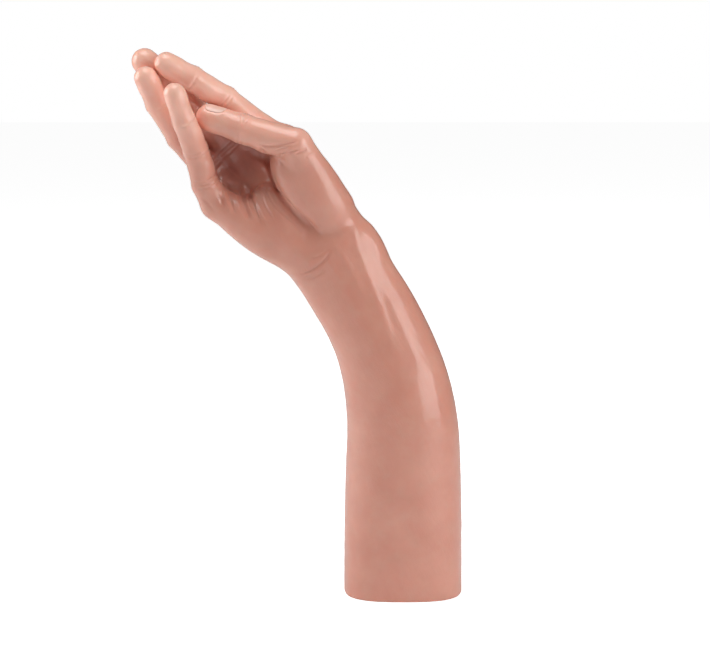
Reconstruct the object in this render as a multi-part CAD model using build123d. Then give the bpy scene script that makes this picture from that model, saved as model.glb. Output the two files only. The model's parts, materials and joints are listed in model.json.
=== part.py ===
"""Passive prosthetic hand with a forearm, right side, in millimetres.

A soft skin covers foam cores, and the foam covers a posable frame: a bent tube, a friction
wrist that turns and flexes, and hinged digits. +Z is up, -X is where the hand leans, the palm
faces -Y, and the origin is the centre of the threaded hole in the flat proximal end.
"""
from build123d import *
import os
from math import asin, cos, radians, sin, tan

# ---------------------------------------------------------------- skin and fits
ARM_SKIN = 2.5        # wall of the skin on the forearm and palm
DIGIT_SKIN = 2.0      # wall of the skin on the digits
FOAM_GAP = 0.2        # between a skin and the core inside it
JOINT_GAP = 0.3       # each side of a split between two moving bodies
RUNNING = 0.05        # radial clearance of a pin or neck that turns
SIDE_PLAY = 0.2       # each side of a tongue in its fork
NOTCH_MARGIN = 1.5    # degrees that a notch opens beyond the joint's travel

# ---------------------------------------------------------------- forearm centreline
STRAIGHT = 96.0       # straight run up from the proximal end
BEND_RADIUS = 180.0
BEND_ANGLE = 32.0     # towards -X
WRIST_RUN = 33.0      # from the end of the bend to the wrist's flexion pin
# half width and half depth of the forearm: straight end, mid straight, bend start, mid bend,
# three quarters of the bend, bend end, wrist
HALF_WIDTHS = (38.4, 38.2, 36.8, 34.2, 31.4, 30.2, 29.6)
HALF_DEPTHS = (33.0, 32.5, 31.5, 29.5, 27.0, 24.0, 21.0)

# ---------------------------------------------------------------- proximal end
PLATE_THICK = 6.0
THREAD_RADIUS = 6.0       # M12 clearance envelope of the connection thread
PLATE_SCREW_RADIUS = 2.5
PLATE_SCREW_CIRCLE = 21.0  # radius of the circle that the four plate screws lie on
SCREW_HEAD_EXTRA = 2.0     # how much wider than its shank a screw's head is
SCREW_HEAD_HIGH = 3.0
SOCKET_FLANGE = 5.0
SOCKET_FLANGE_RADIUS = 26.0
SOCKET_HEIGHT = 24.0
SOCKET_WALL = 3.5
GRUB_RADIUS = 2.0
GRUB_EDGE = 1.0            # from a set screw's hole to the socket's rim, beyond one more radius
FOUR_ANGLES = (45, 135, 225, 315)  # where a circle of four screws has them

# ---------------------------------------------------------------- tube and wrist unit
TUBE_RADIUS = 10.0
TUBE_WALL = 2.0
TUBE_BEND_RADIUS = 100.0
PLUG_LENGTH = 10.0
UNIT_RADIUS = 20.0        # outside of the friction unit
UNIT_BASE = 4.0
UNIT_BODY = 12.0
UNIT_LIP = 4.5
WASHER_THICK = 1.5
ROTOR_LENGTH = 28.0       # from the forearm's split to the flexion pin
YOKE_RADIUS = 9.0
YOKE_DISC_RADIUS = 13.6
YOKE_EYE = 8.5
YOKE_FORK_INSET = 1.0      # fork and pin are narrower than the yoke's bar by this each side
YOKE_ROOM = 2.0            # free space in the palm's foam beyond the yoke
WRIST_PIN_RADIUS = 3.0
WRIST_TONGUE = 8.0
UNIT_SCREW_RADIUS = 1.5
UNIT_SCREW_CIRCLE = 17.0
WRIST_FLEX = 25.0         # degrees each way

# ---------------------------------------------------------------- palm
HUB_RISE = 20.0           # hub of the palm frame beyond the flexion pin
RAY_RADIUS = 4.5          # the frame's bars
CARPAL_RADIUS = 19.0      # palm at the wrist
CARPAL_RISE = 8.0
CARPAL_SPREAD = 6.8       # spacing of the rays across the wrist
THENAR_RADIUS = 15.0
WEB_RADIUS = 9.0
WEB_SHARE = 0.55         # where the web leaves the thumb's metacarpal
PALM_STUB_STEP = 0.3      # keeps the stub's end sphere inside the knuckle's
STUB_CUT = 1.2            # half width of the cut at a root hinge, in digit radii

# ---------------------------------------------------------------- digit hardware
PIN_RADIUS = 1.5
TONGUE = 4.0
DIGIT_EYE = 4.0
FORK_INSET = 2.0          # fork is narrower than its core by this much each side
NAIL_THICK = 0.5          # the nail lies on the skin
NAIL_REACH = 0.55         # how far past the tip's centre a nail goes, in tip radii
TIP_STEP = 0.05           # keeps the last bone's start inside the one before
THUMB_ARM = 16.0          # straight end of the thumb's bar behind its root hinge
THUMB_BAR_END = 10.0      # where the thumb's bar stops short of its root hinge


def heading(tilt, lean):
    """Unit vector at tilt degrees from +Z towards -X and lean degrees towards the palm's side."""
    t, l = radians(tilt), radians(lean)
    return Vector(-sin(t) * cos(l), -sin(l), cos(t) * cos(l))


class Digit:
    """A digit's bones, as lengths and headings from its knuckle, and its radii at each joint."""

    def __init__(self, name, knuckle, root_at, bones, radii, knuckle_radius, back, mid_back,
                 root_range, mid_range, nail):
        self.name = name
        self.knuckle = Vector(*knuckle)       # from the wrist's flexion pin
        self.root_at = root_at                # root hinge, along the first bone
        self.bones = bones                    # (length, tilt, lean)
        self.radii = radii                    # root, middle, then each joint to the tip
        self.knuckle_radius = knuckle_radius
        self.back = Vector(*back)             # the way the root hinge opens
        self.mid_back = Vector(*mid_back)     # the way the middle hinge opens
        self.root_range = root_range
        self.mid_range = mid_range
        self.nail = nail                      # half width, length, and the way it faces


DIGITS = [
    Digit("index", (-32, 12, 70.5), 18, ((49, 50.5, 14), (25, 58, 16), (19, 60, 11)),
          (9.4, 8.6, 7.8, 6.9), 13.0, (0.45, 0.7, 0.54), (0.45, 0.7, 0.54), (0, 20), (0, 15),
          (5.6, 12.5, (0.3, 0.9, 0.3))),
    Digit("middle", (-54, 20, 55), 17, ((47, 43.5, 10), (30, 42, 14), (21, 45, 16)),
          (9.4, 8.8, 8.0, 7.0), 13.5, (0, 1, 0), (0, 1, 0), (0, 20), (0, 20),
          (5.8, 13.0, (0, 1, 0))),
    Digit("ring", (-70, 17.5, 41), 17, ((47, 40, 15), (27, 29, 24), (19.5, 23, 22)),
          (9.2, 8.4, 7.6, 6.7), 13.0, (-0.65, 0.6, -0.54), (-0.65, 0.6, -0.54), (0, 18), (0, 12),
          (5.4, 12.0, (-0.5, 0.8, -0.2))),
    Digit("little", (-78.5, 2, 33), 15, ((40, 13, 23), (22, 19, 26), (19, 17, 17)),
          (8.4, 7.8, 7.1, 6.1), 12.0, (-0.49, 0.85, -0.11), (-0.49, 0.85, -0.11), (0, 18),
          (-30, 8), (4.6, 10.0, (-0.6, 0.8, 0))),
    Digit("thumb", (-1, -6, 32), 49, ((49, 29.5, 17.4), (34, 73.8, -8.3), (24, 71, -10)),
          (11.0, 9.2, 7.2), 15.0, (0, -0.8, 0.6), (0.3, -0.6, 0.74), (0, 25), (-25, 8),
          (6.4, 13.5, (0.25, -0.45, 0.85))),
]
FINGERS = DIGITS[:4]
THUMB = DIGITS[4]

# ---------------------------------------------------------------- derived places
BEND_LENGTH = BEND_RADIUS * radians(BEND_ANGLE)
WRIST_AT = STRAIGHT + BEND_LENGTH + WRIST_RUN
STATIONS = (0, STRAIGHT / 2, STRAIGHT, STRAIGHT + 0.4 * BEND_LENGTH, STRAIGHT + 0.71 * BEND_LENGTH,
            STRAIGHT + BEND_LENGTH, WRIST_AT)
END_MARGIN = 4.0          # how far a cutting shape runs past what it cuts
FAR = 60.0                # half size of a cutting block


def centreline(run):
    """Plane across the forearm at a distance along its centreline: x is radial, y is back."""
    along = min(max(run - STRAIGHT, 0), BEND_LENGTH)
    turn = along / BEND_RADIUS
    past = max(run - STRAIGHT - BEND_LENGTH, 0)
    tangent = Vector(-sin(turn), 0, cos(turn))
    place = Vector(-BEND_RADIUS * (1 - cos(turn)), 0, min(run, STRAIGHT) + BEND_RADIUS * sin(turn))
    return Plane(origin=place + tangent * past, x_dir=(cos(turn), 0, sin(turn)), z_dir=tangent)


def between(values, run):
    """Value at a distance along the centreline, straight between the stations."""
    last = len(STATIONS) - 2
    i = next((k for k in range(last) if run <= STATIONS[k + 1]), last)
    share = (run - STATIONS[i]) / (STATIONS[i + 1] - STATIONS[i])
    return values[i] + share * (values[i + 1] - values[i])


def arm_solid(start, end, inset):
    """Forearm between two distances along its centreline, smaller all round by inset."""
    sections = [
        centreline(run) * Ellipse(between(HALF_WIDTHS, run) - inset, between(HALF_DEPTHS, run) - inset)
        for run in (-END_MARGIN, *STATIONS, WRIST_AT + END_MARGIN)
    ]
    block = Box(4 * FAR, 4 * FAR, 4 * FAR)
    return (loft(sections) - centreline(start) * Pos(0, 0, -2 * FAR) * block
            - centreline(end) * Pos(0, 0, 2 * FAR) * block)


WRIST = centreline(WRIST_AT)
PIN_AT = WRIST.origin


def capsule(a, b, ra, rb):
    """Round-ended tapered bar from a to b, as one turned solid."""
    length = (b - a).length
    slope = asin((ra - rb) / length)
    with BuildPart() as bar:
        with BuildSketch(Plane.XZ):
            with BuildLine():
                low, high = (ra * cos(slope), ra * sin(slope)), (rb * cos(slope), length + rb * sin(slope))
                mid_low, mid_high = (slope - radians(90)) / 2, (slope + radians(90)) / 2
                ThreePointArc((0, -ra), (ra * cos(mid_low), ra * sin(mid_low)), low)
                Line(low, high)
                ThreePointArc(high, (rb * cos(mid_high), length + rb * sin(mid_high)), (0, length + rb))
                Line((0, length + rb), (0, -ra))
            make_face()
        revolve(axis=Axis.Z)
    return Plane(origin=a, z_dir=b - a) * bar.part


def rod(a, b, radius, end_radius=None):
    """Straight or tapered round bar with flat ends."""
    plane = Plane(origin=a, z_dir=b - a)
    middle = Pos(0, 0, (b - a).length / 2)
    if end_radius is None:
        return plane * middle * Cylinder(radius, (b - a).length)
    return plane * middle * Cone(radius, end_radius, (b - a).length)


class Hinge:
    """A pivot between two bodies: along is the child's way, up is the way it opens."""

    def __init__(self, origin, along, back, opens, closes):
        self.origin = origin
        self.along = along.normalized()
        self.axis = self.along.cross(back).normalized()
        self.plane = Plane(origin=origin, x_dir=self.along, z_dir=self.axis)
        self.opens, self.closes = opens, closes

    def block(self, low_x, high_x, half_y, half_z):
        """Block in the hinge's own frame."""
        return self.plane * Pos((low_x + high_x) / 2, 0, 0) * Box(high_x - low_x, 2 * half_y, 2 * half_z)

    def barrel(self, radius, length):
        """Cylinder about the hinge's axis."""
        return self.plane * Cylinder(radius, length)

    def child_side(self, solid):
        """What is left of a child's solid once it can turn without meeting its parent."""
        rise = [JOINT_GAP + FAR * tan(radians(max(a, 0) + NOTCH_MARGIN)) for a in (self.opens, self.closes)]
        outline = Polyline((JOINT_GAP, 0), (rise[0], FAR), (-FAR, FAR), (-FAR, -FAR), (rise[1], -FAR),
                           close=True)
        wedge = extrude(self.plane * make_face(outline), FAR, both=True)
        return solid - wedge

    def parent_side(self, solid):
        """What is left of a parent's solid below the hinge."""
        return solid - self.block(-JOINT_GAP, FAR, FAR, FAR)

    def fork(self, bar, half_width, eye, tongue, pin):
        """Rounds a parent's bar about the axis, slots it for the tongue and bores it for the pin."""
        past = self.block(0, FAR, FAR, FAR) - self.barrel(eye, 2 * half_width)
        slot = self.block(-eye - 2 * SIDE_PLAY, FAR, FAR, tongue / 2 + SIDE_PLAY)
        return bar - past - slot - self.barrel(pin, 2 * FAR)

    def tongue(self, bar, eye, tongue, pin):
        """Child's bar, which starts clear of the fork, with a tongue bored to run on the pin."""
        start = eye + 3 * SIDE_PLAY
        body = bar - self.block(-FAR, start, FAR, FAR)
        reach = self.block(0, start + 1, eye - SIDE_PLAY, tongue / 2)
        reach += self.barrel(eye - SIDE_PLAY, tongue)
        return body + reach - self.barrel(pin + RUNNING, 2 * FAR)

    def pin(self, radius, half_width):
        """Hinge pin."""
        return self.barrel(radius, 2 * half_width)


class DigitFrame:
    """A digit's joints as places in the row's frame, with its two hinges."""

    def __init__(self, digit):
        self.digit = digit
        self.ways = [heading(tilt, lean) for _, tilt, lean in digit.bones]
        self.knuckle = PIN_AT + digit.knuckle
        place = self.knuckle
        self.joints = []
        for (length, _, _), way in zip(digit.bones, self.ways):
            place = place + way * length
            self.joints.append(place)
        self.root = self.knuckle + self.ways[0] * digit.root_at
        self.is_thumb = digit is THUMB
        self.middle = self.joints[1] if self.is_thumb else self.joints[0]
        self.root_way = self.ways[1] if self.is_thumb else self.ways[0]
        self.mid_way = self.ways[2] if self.is_thumb else self.ways[1]
        self.tip = self.joints[2]
        low, high = digit.root_range
        self.root_hinge = Hinge(self.root, self.root_way, digit.back, high, -low)
        low, high = digit.mid_range
        self.mid_hinge = Hinge(self.middle, self.mid_way, digit.mid_back, high, -low)

    def proximal(self, inset):
        """First moving bone's envelope, smaller all round by inset, running past both hinges."""
        root, middle = self.digit.radii[0] - inset, self.digit.radii[1] - inset
        past = self.root_way * END_MARGIN * 2
        return rod(self.root - past, self.middle + past, root, middle)

    def distal(self, inset):
        """Outer bones' envelope, smaller all round by inset, with a round tip."""
        radii = [r - inset for r in self.digit.radii]
        if self.is_thumb:
            return capsule(self.middle, self.tip, radii[1], radii[2])
        joint = self.joints[1]
        outer = capsule(joint, self.tip, radii[2] - TIP_STEP, radii[3])
        return capsule(self.middle, joint, radii[1], radii[2]) + outer

    def half_fork(self, which):
        """Half width of the fork at the root (0) or middle (1) hinge."""
        skin = DIGIT_SKIN if which else ARM_SKIN
        return self.digit.radii[which] - skin - FOAM_GAP - FORK_INSET

    def nail(self):
        """Thin curved plate on the back of the last bone, at its tip."""
        half, length, faces = self.digit.nail
        way = self.ways[2]
        face = Vector(*faces)
        face = (face - way * face.dot(way)).normalized()
        radius = self.digit.radii[-1]
        near = self.tip + way * (radius * NAIL_REACH - length)
        plane = Plane(origin=near, x_dir=way, z_dir=face)
        end = Pos(length / 2, 0, radius) * Box(length, 2 * half, 2 * radius)
        start = self.joints[1]
        top = capsule(start, self.tip, self.digit.radii[-2] + NAIL_THICK, radius + NAIL_THICK)
        return (plane * end & top) - capsule(start, self.tip, self.digit.radii[-2], radius)


def proximal_end():
    """Plate, tube socket and screws at the flat end."""
    width, depth = HALF_WIDTHS[0] - ARM_SKIN - FOAM_GAP, HALF_DEPTHS[0] - ARM_SKIN - FOAM_GAP
    around = [Pos(PLATE_SCREW_CIRCLE * cos(radians(a)), PLATE_SCREW_CIRCLE * sin(radians(a)), 0)
              for a in FOUR_ANGLES]
    long = PLATE_THICK + SOCKET_FLANGE
    screw = Pos(0, 0, long / 2) * Cylinder(PLATE_SCREW_RADIUS, long)
    screw += Pos(0, 0, SCREW_HEAD_HIGH / 2) * Cylinder(PLATE_SCREW_RADIUS + SCREW_HEAD_EXTRA, SCREW_HEAD_HIGH)
    screws = [place * screw for place in around]
    plate = extrude(Ellipse(width, depth), PLATE_THICK) - Cylinder(THREAD_RADIUS, 4 * PLATE_THICK)
    socket = Pos(0, 0, PLATE_THICK + SOCKET_FLANGE / 2) * Cylinder(SOCKET_FLANGE_RADIUS, SOCKET_FLANGE)
    socket += Pos(0, 0, PLATE_THICK + SOCKET_HEIGHT / 2) * Cylinder(TUBE_RADIUS + SOCKET_WALL, SOCKET_HEIGHT)
    socket -= Pos(0, 0, PLATE_THICK + SOCKET_HEIGHT / 2) * Cylinder(TUBE_RADIUS, SOCKET_HEIGHT)
    grub_z = PLATE_THICK + SOCKET_HEIGHT - 2 * GRUB_RADIUS - GRUB_EDGE
    grubs = []
    for side in (-1, 1):
        place = Pos(side * (TUBE_RADIUS + SOCKET_WALL / 2), 0, grub_z) * Rot(0, 90, 0)
        grubs.append(place * Cylinder(GRUB_RADIUS, SOCKET_WALL))
        socket -= place * Cylinder(GRUB_RADIUS, 2 * SOCKET_WALL)
    for piece in screws:
        plate, socket = plate - piece, socket - piece
    return {"end_plate": plate, "tube_socket": socket, "end_plate_screws": Compound(screws),
            "tube_set_screws": Compound(grubs)}


def tube_path(start, end):
    """Tube's centreline from a height above the proximal end to a place on the wrist's axis."""
    corner = Vector(0, 0, STRAIGHT + BEND_RADIUS * tan(radians(BEND_ANGLE / 2)))
    return FilletPolyline(Vector(0, 0, start), corner, end, radius=TUBE_BEND_RADIUS)


def on_wrist(low, high, radius):
    """Cylinder on the wrist's axis between two distances from the flexion pin."""
    return WRIST * Pos(0, 0, (low + high) / 2) * Cylinder(radius, high - low)


def wrist_unit():
    """Bent tube and the friction unit that lets the hand turn."""
    up = WRIST.z_dir
    face = -ROTOR_LENGTH                              # top of the unit, from the pin
    base = face - UNIT_BODY - UNIT_BASE
    tube_end = PIN_AT + up * base
    path = tube_path(PLATE_THICK, tube_end)
    ring = Plane(origin=(0, 0, PLATE_THICK), z_dir=(0, 0, 1)) * (
        Circle(TUBE_RADIUS) - Circle(TUBE_RADIUS - TUBE_WALL))
    tube = sweep(ring, path=path)
    bottom = base + UNIT_BASE
    unit_base = on_wrist(base, bottom, UNIT_RADIUS)
    unit_base += on_wrist(base - PLUG_LENGTH, base, TUBE_RADIUS - TUBE_WALL)
    cavity = YOKE_DISC_RADIUS + SIDE_PLAY
    housing = on_wrist(bottom, face, UNIT_RADIUS) - on_wrist(bottom, face - UNIT_LIP, cavity)
    housing -= on_wrist(bottom, face, YOKE_RADIUS + RUNNING)
    disc_low, disc_high = bottom + WASHER_THICK, face - UNIT_LIP - WASHER_THICK
    lower = on_wrist(bottom, disc_low, YOKE_DISC_RADIUS)
    upper = on_wrist(disc_high, face - UNIT_LIP, YOKE_DISC_RADIUS)
    upper -= on_wrist(disc_high, face, YOKE_RADIUS + RUNNING)
    screws = []
    for angle in FOUR_ANGLES:
        turn = radians(angle)
        spot = WRIST * Pos(UNIT_SCREW_CIRCLE * cos(turn), UNIT_SCREW_CIRCLE * sin(turn), 0)
        middle = (base + face) / 2
        screws.append(spot * Pos(0, 0, middle) * Cylinder(UNIT_SCREW_RADIUS, face - base))
    for screw in screws:
        unit_base, housing = unit_base - screw, housing - screw
    disc = on_wrist(disc_low, disc_high, YOKE_DISC_RADIUS)
    nodes = {"forearm_tube": tube, "wrist_base": unit_base, "wrist_housing": housing,
             "wrist_screws": Compound(screws),
             "friction_washers": Compound([*lower.solids(), *upper.solids()])}
    return nodes, disc, disc_high


WRIST_HINGE = Hinge(PIN_AT, WRIST.z_dir, -Vector(0, 1, 0), WRIST_FLEX, WRIST_FLEX)


def rotor(disc, disc_high):
    """Body between the wrist's two joints: yoke, pin, core and skin."""
    up = WRIST.z_dir
    bar = disc + rod(PIN_AT + up * disc_high, PIN_AT + up * YOKE_EYE, YOKE_RADIUS)
    half = YOKE_RADIUS - YOKE_FORK_INSET
    yoke = WRIST_HINGE.fork(bar, half, YOKE_EYE, WRIST_TONGUE, WRIST_PIN_RADIUS)
    yoke -= WRIST_HINGE.block(-JOINT_GAP, FAR, FAR, FAR) - WRIST_HINGE.block(-1, FAR, FAR, half)
    start, end = WRIST_AT - ROTOR_LENGTH + 2 * JOINT_GAP, WRIST_AT
    core = WRIST_HINGE.parent_side(arm_solid(start, end, ARM_SKIN + FOAM_GAP))
    core -= rod(PIN_AT - up * ROTOR_LENGTH * 1.5, PIN_AT + up * FAR, YOKE_RADIUS + RUNNING)
    core -= WRIST_HINGE.barrel(YOKE_EYE + 3 * SIDE_PLAY, 2 * YOKE_RADIUS)
    shell = arm_solid(start, end, 0) - arm_solid(start - END_MARGIN, end + END_MARGIN / 2, ARM_SKIN)
    return {"wrist_yoke": yoke, "wrist_core": core, "wrist_skin": WRIST_HINGE.parent_side(shell),
            "wrist_pin": WRIST_HINGE.pin(WRIST_PIN_RADIUS, half)}


def forearm():
    """Foam core and skin of the forearm."""
    end = WRIST_AT - ROTOR_LENGTH
    up = WRIST.z_dir
    skin = arm_solid(0, end, 0) - arm_solid(-END_MARGIN, end + END_MARGIN / 2, ARM_SKIN)
    core = arm_solid(PLATE_THICK, end, ARM_SKIN + FOAM_GAP)
    clear = SIDE_PLAY
    core -= Pos(0, 0, PLATE_THICK + SOCKET_FLANGE / 2) * Cylinder(SOCKET_FLANGE_RADIUS + clear, SOCKET_FLANGE)
    core -= Pos(0, 0, PLATE_THICK + SOCKET_HEIGHT / 2) * Cylinder(TUBE_RADIUS + SOCKET_WALL + clear,
                                                                SOCKET_HEIGHT)
    unit_low = PIN_AT - up * (ROTOR_LENGTH + UNIT_BODY + UNIT_BASE)
    core -= rod(unit_low, PIN_AT, UNIT_RADIUS + clear)
    section = Plane(origin=(0, 0, PLATE_THICK), z_dir=(0, 0, 1)) * Circle(TUBE_RADIUS + FOAM_GAP)
    core -= sweep(section, path=tube_path(PLATE_THICK, unit_low + up))
    return {"forearm_skin": skin, "forearm_core": core}


def palm_solid(frames, inset, short=JOINT_GAP):
    """Palm: a ray to each knuckle, the ball of the thumb and its web, ending short of each hinge."""
    shapes = []
    count = len(FINGERS)
    for i, frame in enumerate(frames[:count]):
        across = (count - 1) / 2 - i
        start = (WRIST * Pos(across * CARPAL_SPREAD, 0, CARPAL_RISE)).position
        big = frame.digit.knuckle_radius - inset
        shapes.append(capsule(start, frame.knuckle, CARPAL_RADIUS - inset, big))
        root = frame.digit.radii[0] - inset
        shapes.append(capsule(frame.knuckle, frame.root + frame.root_way, big - PALM_STUB_STEP, root))
    thumb = frames[-1]
    low = (WRIST * Pos(CARPAL_SPREAD * (count - 1) / 2, 0, CARPAL_RISE)).position
    ball = THENAR_RADIUS - inset
    shapes.append(capsule(low, thumb.knuckle, CARPAL_RADIUS - PALM_STUB_STEP - inset, ball))
    shapes.append(capsule(thumb.knuckle, thumb.root, ball - PALM_STUB_STEP, thumb.digit.radii[0] + 1 - inset))
    middle = thumb.knuckle + (thumb.root - thumb.knuckle) * WEB_SHARE
    shapes.append(capsule(middle, frames[0].knuckle, WEB_RADIUS - inset, WEB_RADIUS + 1 - inset))
    solid = shapes[0]
    for shape in shapes[1:]:
        solid = solid + shape
    reach = PIN_AT - WRIST.z_dir * (CARPAL_RADIUS + END_MARGIN)
    solid = WRIST_HINGE.child_side(solid)
    solid -= rod(reach, PIN_AT - WRIST.z_dir * JOINT_GAP, 2 * CARPAL_RADIUS)
    for frame in frames:
        wide = STUB_CUT * frame.digit.radii[0]
        solid -= frame.root_hinge.block(-short, FAR / 2, wide, wide)
    return solid


def palm(frames):
    """Palm frame with its forks, the foam round it, its skin and the root pins."""
    up = WRIST.z_dir
    hub = PIN_AT + up * HUB_RISE
    shank = rod(PIN_AT, hub, YOKE_RADIUS - YOKE_FORK_INSET)
    bars = WRIST_HINGE.tongue(shank, YOKE_EYE, WRIST_TONGUE, WRIST_PIN_RADIUS)
    bars += Plane(origin=hub, z_dir=up) * Sphere(YOKE_RADIUS)
    pins, filled = [], []
    for frame in frames:
        core = frame.digit.radii[0] - ARM_SKIN - FOAM_GAP
        half = frame.half_fork(0)
        arm = rod(frame.knuckle, frame.root + frame.ways[0] * DIGIT_EYE, core)
        if frame.is_thumb:
            arm = rod(frame.root - frame.ways[0] * THUMB_ARM, frame.root + frame.ways[0] * DIGIT_EYE, core)
        end = frame.root_hinge.fork(arm, half, DIGIT_EYE, TONGUE, PIN_RADIUS)
        hub_bar = capsule(hub, frame.knuckle, RAY_RADIUS + 1, RAY_RADIUS)
        if frame.is_thumb:
            hub_bar += capsule(frame.knuckle, frame.root - frame.ways[0] * THUMB_BAR_END,
                               RAY_RADIUS - PALM_STUB_STEP, RAY_RADIUS - 2 * PALM_STUB_STEP)
        bars += end + hub_bar
        filled.append(arm)
        pins.append(frame.root_hinge.pin(PIN_RADIUS, half))
    core = palm_solid(frames, ARM_SKIN + FOAM_GAP, DIGIT_EYE)
    room = WRIST_HINGE.barrel(YOKE_EYE + 3 * SIDE_PLAY, 2 * (YOKE_RADIUS + YOKE_ROOM))
    high = YOKE_EYE + YOKE_ROOM
    room += WRIST_HINGE.block(-FAR / 4, high, YOKE_EYE + 3 * SIDE_PLAY, YOKE_RADIUS + YOKE_ROOM)
    core = core - room - bars
    for arm in filled:
        core -= arm
    skin = palm_solid(frames, 0) - palm_solid(frames, ARM_SKIN)
    return {"palm_frame": bars, "palm_core": biggest(core), "palm_skin": biggest(skin),
            "knuckle_pins": Compound(pins)}


def biggest(shape):
    """Largest solid of a shape, without crumbs that a cut may leave."""
    return max(shape.solids(), key=lambda s: s.volume)


def digit_nodes(frame):
    """Skins, phalanges, middle pin and nail of one digit."""
    name, hinge = frame.digit.name, frame.mid_hinge
    foam = DIGIT_SKIN + FOAM_GAP
    root, half = frame.root_hinge, frame.half_fork(1)
    skin = frame.proximal(0) - frame.proximal(DIGIT_SKIN)
    near_skin = hinge.parent_side(root.child_side(skin))
    bone = root.tongue(frame.proximal(foam), DIGIT_EYE, TONGUE, PIN_RADIUS)
    bone = hinge.fork(bone, half, DIGIT_EYE, TONGUE, PIN_RADIUS)
    nail = frame.nail()
    far_skin = hinge.child_side(frame.distal(0) - frame.distal(DIGIT_SKIN))
    far_bone = hinge.tongue(frame.distal(foam), DIGIT_EYE, TONGUE, PIN_RADIUS)
    return {f"{name}_proximal_skin": biggest(near_skin), f"{name}_proximal_phalanx": biggest(bone),
            f"{name}_distal_skin": biggest(far_skin), f"{name}_distal_phalanx": biggest(far_bone),
            f"{name}_middle_pin": hinge.pin(PIN_RADIUS, half), f"{name}_nail": biggest(nail)}


def main():
    """Builds every node and writes one STEP file for each."""
    os.makedirs("parts", exist_ok=True)
    frames = [DigitFrame(digit) for digit in DIGITS]
    unit, disc, disc_high = wrist_unit()
    nodes = {**proximal_end(), **unit, **forearm(), **rotor(disc, disc_high), **palm(frames)}
    for frame in frames:
        nodes.update(digit_nodes(frame))
    for name, shape in nodes.items():
        export_step(shape, f"parts/{name}.step")
    print(len(nodes), "nodes; wrist pin at", PIN_AT, "turning about", WRIST.z_dir)
    for frame in frames:
        for label, hinge in (("root", frame.root_hinge), ("middle", frame.mid_hinge)):
            print(frame.digit.name, label, "at", hinge.origin, "axis", hinge.axis)


main()
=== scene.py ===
"""Looks of a passive prosthetic hand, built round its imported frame.

One glove of soft, glossy elastomer covers the hand and the forearm. Its shape is a distance field in
millimetres: tapered bars for the bones, blobs for the flesh, and smooth unions between them. Each piece
of the glove is a mesh of that field, and fine relief (creases, tendons, veins) moves its points along
their normals. A piece overlaps its neighbour by a few hidden millimetres, and both lie on the same field
where they meet, so that no seam shows.
"""
from __future__ import annotations

import json
import logging
import math
from dataclasses import dataclass
from enum import Enum
from typing import Callable, Sequence

import bpy
import numpy as np
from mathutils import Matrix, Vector

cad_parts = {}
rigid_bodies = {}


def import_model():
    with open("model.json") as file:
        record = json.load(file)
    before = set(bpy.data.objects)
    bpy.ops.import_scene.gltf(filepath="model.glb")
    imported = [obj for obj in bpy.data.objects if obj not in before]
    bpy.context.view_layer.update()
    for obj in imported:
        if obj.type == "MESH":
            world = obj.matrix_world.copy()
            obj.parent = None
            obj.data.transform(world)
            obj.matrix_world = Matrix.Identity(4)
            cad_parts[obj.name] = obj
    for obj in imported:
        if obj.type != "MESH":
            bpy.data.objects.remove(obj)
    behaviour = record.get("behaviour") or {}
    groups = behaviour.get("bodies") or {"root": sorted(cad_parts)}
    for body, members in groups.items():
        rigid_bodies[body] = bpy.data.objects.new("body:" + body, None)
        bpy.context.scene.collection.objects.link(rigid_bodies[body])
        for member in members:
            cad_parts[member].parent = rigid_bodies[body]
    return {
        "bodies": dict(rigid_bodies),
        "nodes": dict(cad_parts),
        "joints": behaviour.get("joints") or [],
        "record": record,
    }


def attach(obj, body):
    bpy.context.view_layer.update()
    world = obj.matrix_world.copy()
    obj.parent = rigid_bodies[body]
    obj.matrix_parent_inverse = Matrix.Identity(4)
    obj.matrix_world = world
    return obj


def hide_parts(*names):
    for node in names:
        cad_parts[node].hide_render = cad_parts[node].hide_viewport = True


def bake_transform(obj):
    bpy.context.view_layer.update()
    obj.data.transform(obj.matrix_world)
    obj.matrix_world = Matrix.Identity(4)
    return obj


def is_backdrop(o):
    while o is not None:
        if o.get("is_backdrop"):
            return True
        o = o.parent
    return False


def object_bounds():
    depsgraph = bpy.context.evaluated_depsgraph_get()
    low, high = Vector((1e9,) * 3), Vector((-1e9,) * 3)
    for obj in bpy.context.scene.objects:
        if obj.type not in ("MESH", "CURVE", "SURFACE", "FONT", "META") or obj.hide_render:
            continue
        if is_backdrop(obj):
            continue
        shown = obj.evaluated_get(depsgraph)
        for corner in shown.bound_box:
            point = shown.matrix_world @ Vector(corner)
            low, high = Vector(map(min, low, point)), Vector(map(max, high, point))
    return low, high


LOG = logging.getLogger("hand")
MM = 0.001
FAR = 99.0                # a distance that no shape reaches
FLAT = 1e-6               # least slope that a distance is divided by
TINY = 1e-9
Array = np.ndarray
Field = Callable[[Array], Array]
Relieve = Callable[[Array, Array], Array]
Triple = tuple[float, float, float]
Tree = bpy.types.NodeTree
Socket = bpy.types.NodeSocket


# ------------------------------------------------------------------ field algebra, in millimetres
def unit(vector: Sequence[float]) -> Array:
    """Returns the vector at length one."""
    v = np.asarray(vector, float)
    return v / np.linalg.norm(v)


def heading(tilt: float, lean: float) -> Array:
    """Gives a direction from two angles.

    Args:
        tilt: Degrees from +Z towards -X.
        lean: Degrees towards the palm's side, -Y.

    Returns:
        A unit vector.
    """
    t, l = math.radians(tilt), math.radians(lean)
    return np.array([-math.sin(t) * math.cos(l), -math.sin(l), math.cos(t) * math.cos(l)])


def smooth_step(low: float, high: float, x: Array) -> Array:
    """Returns 0 below low, 1 above high and a smooth rise between them."""
    t = np.clip((x - low) / (high - low), 0.0, 1.0)
    return t * t * (3.0 - 2.0 * t)


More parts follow.
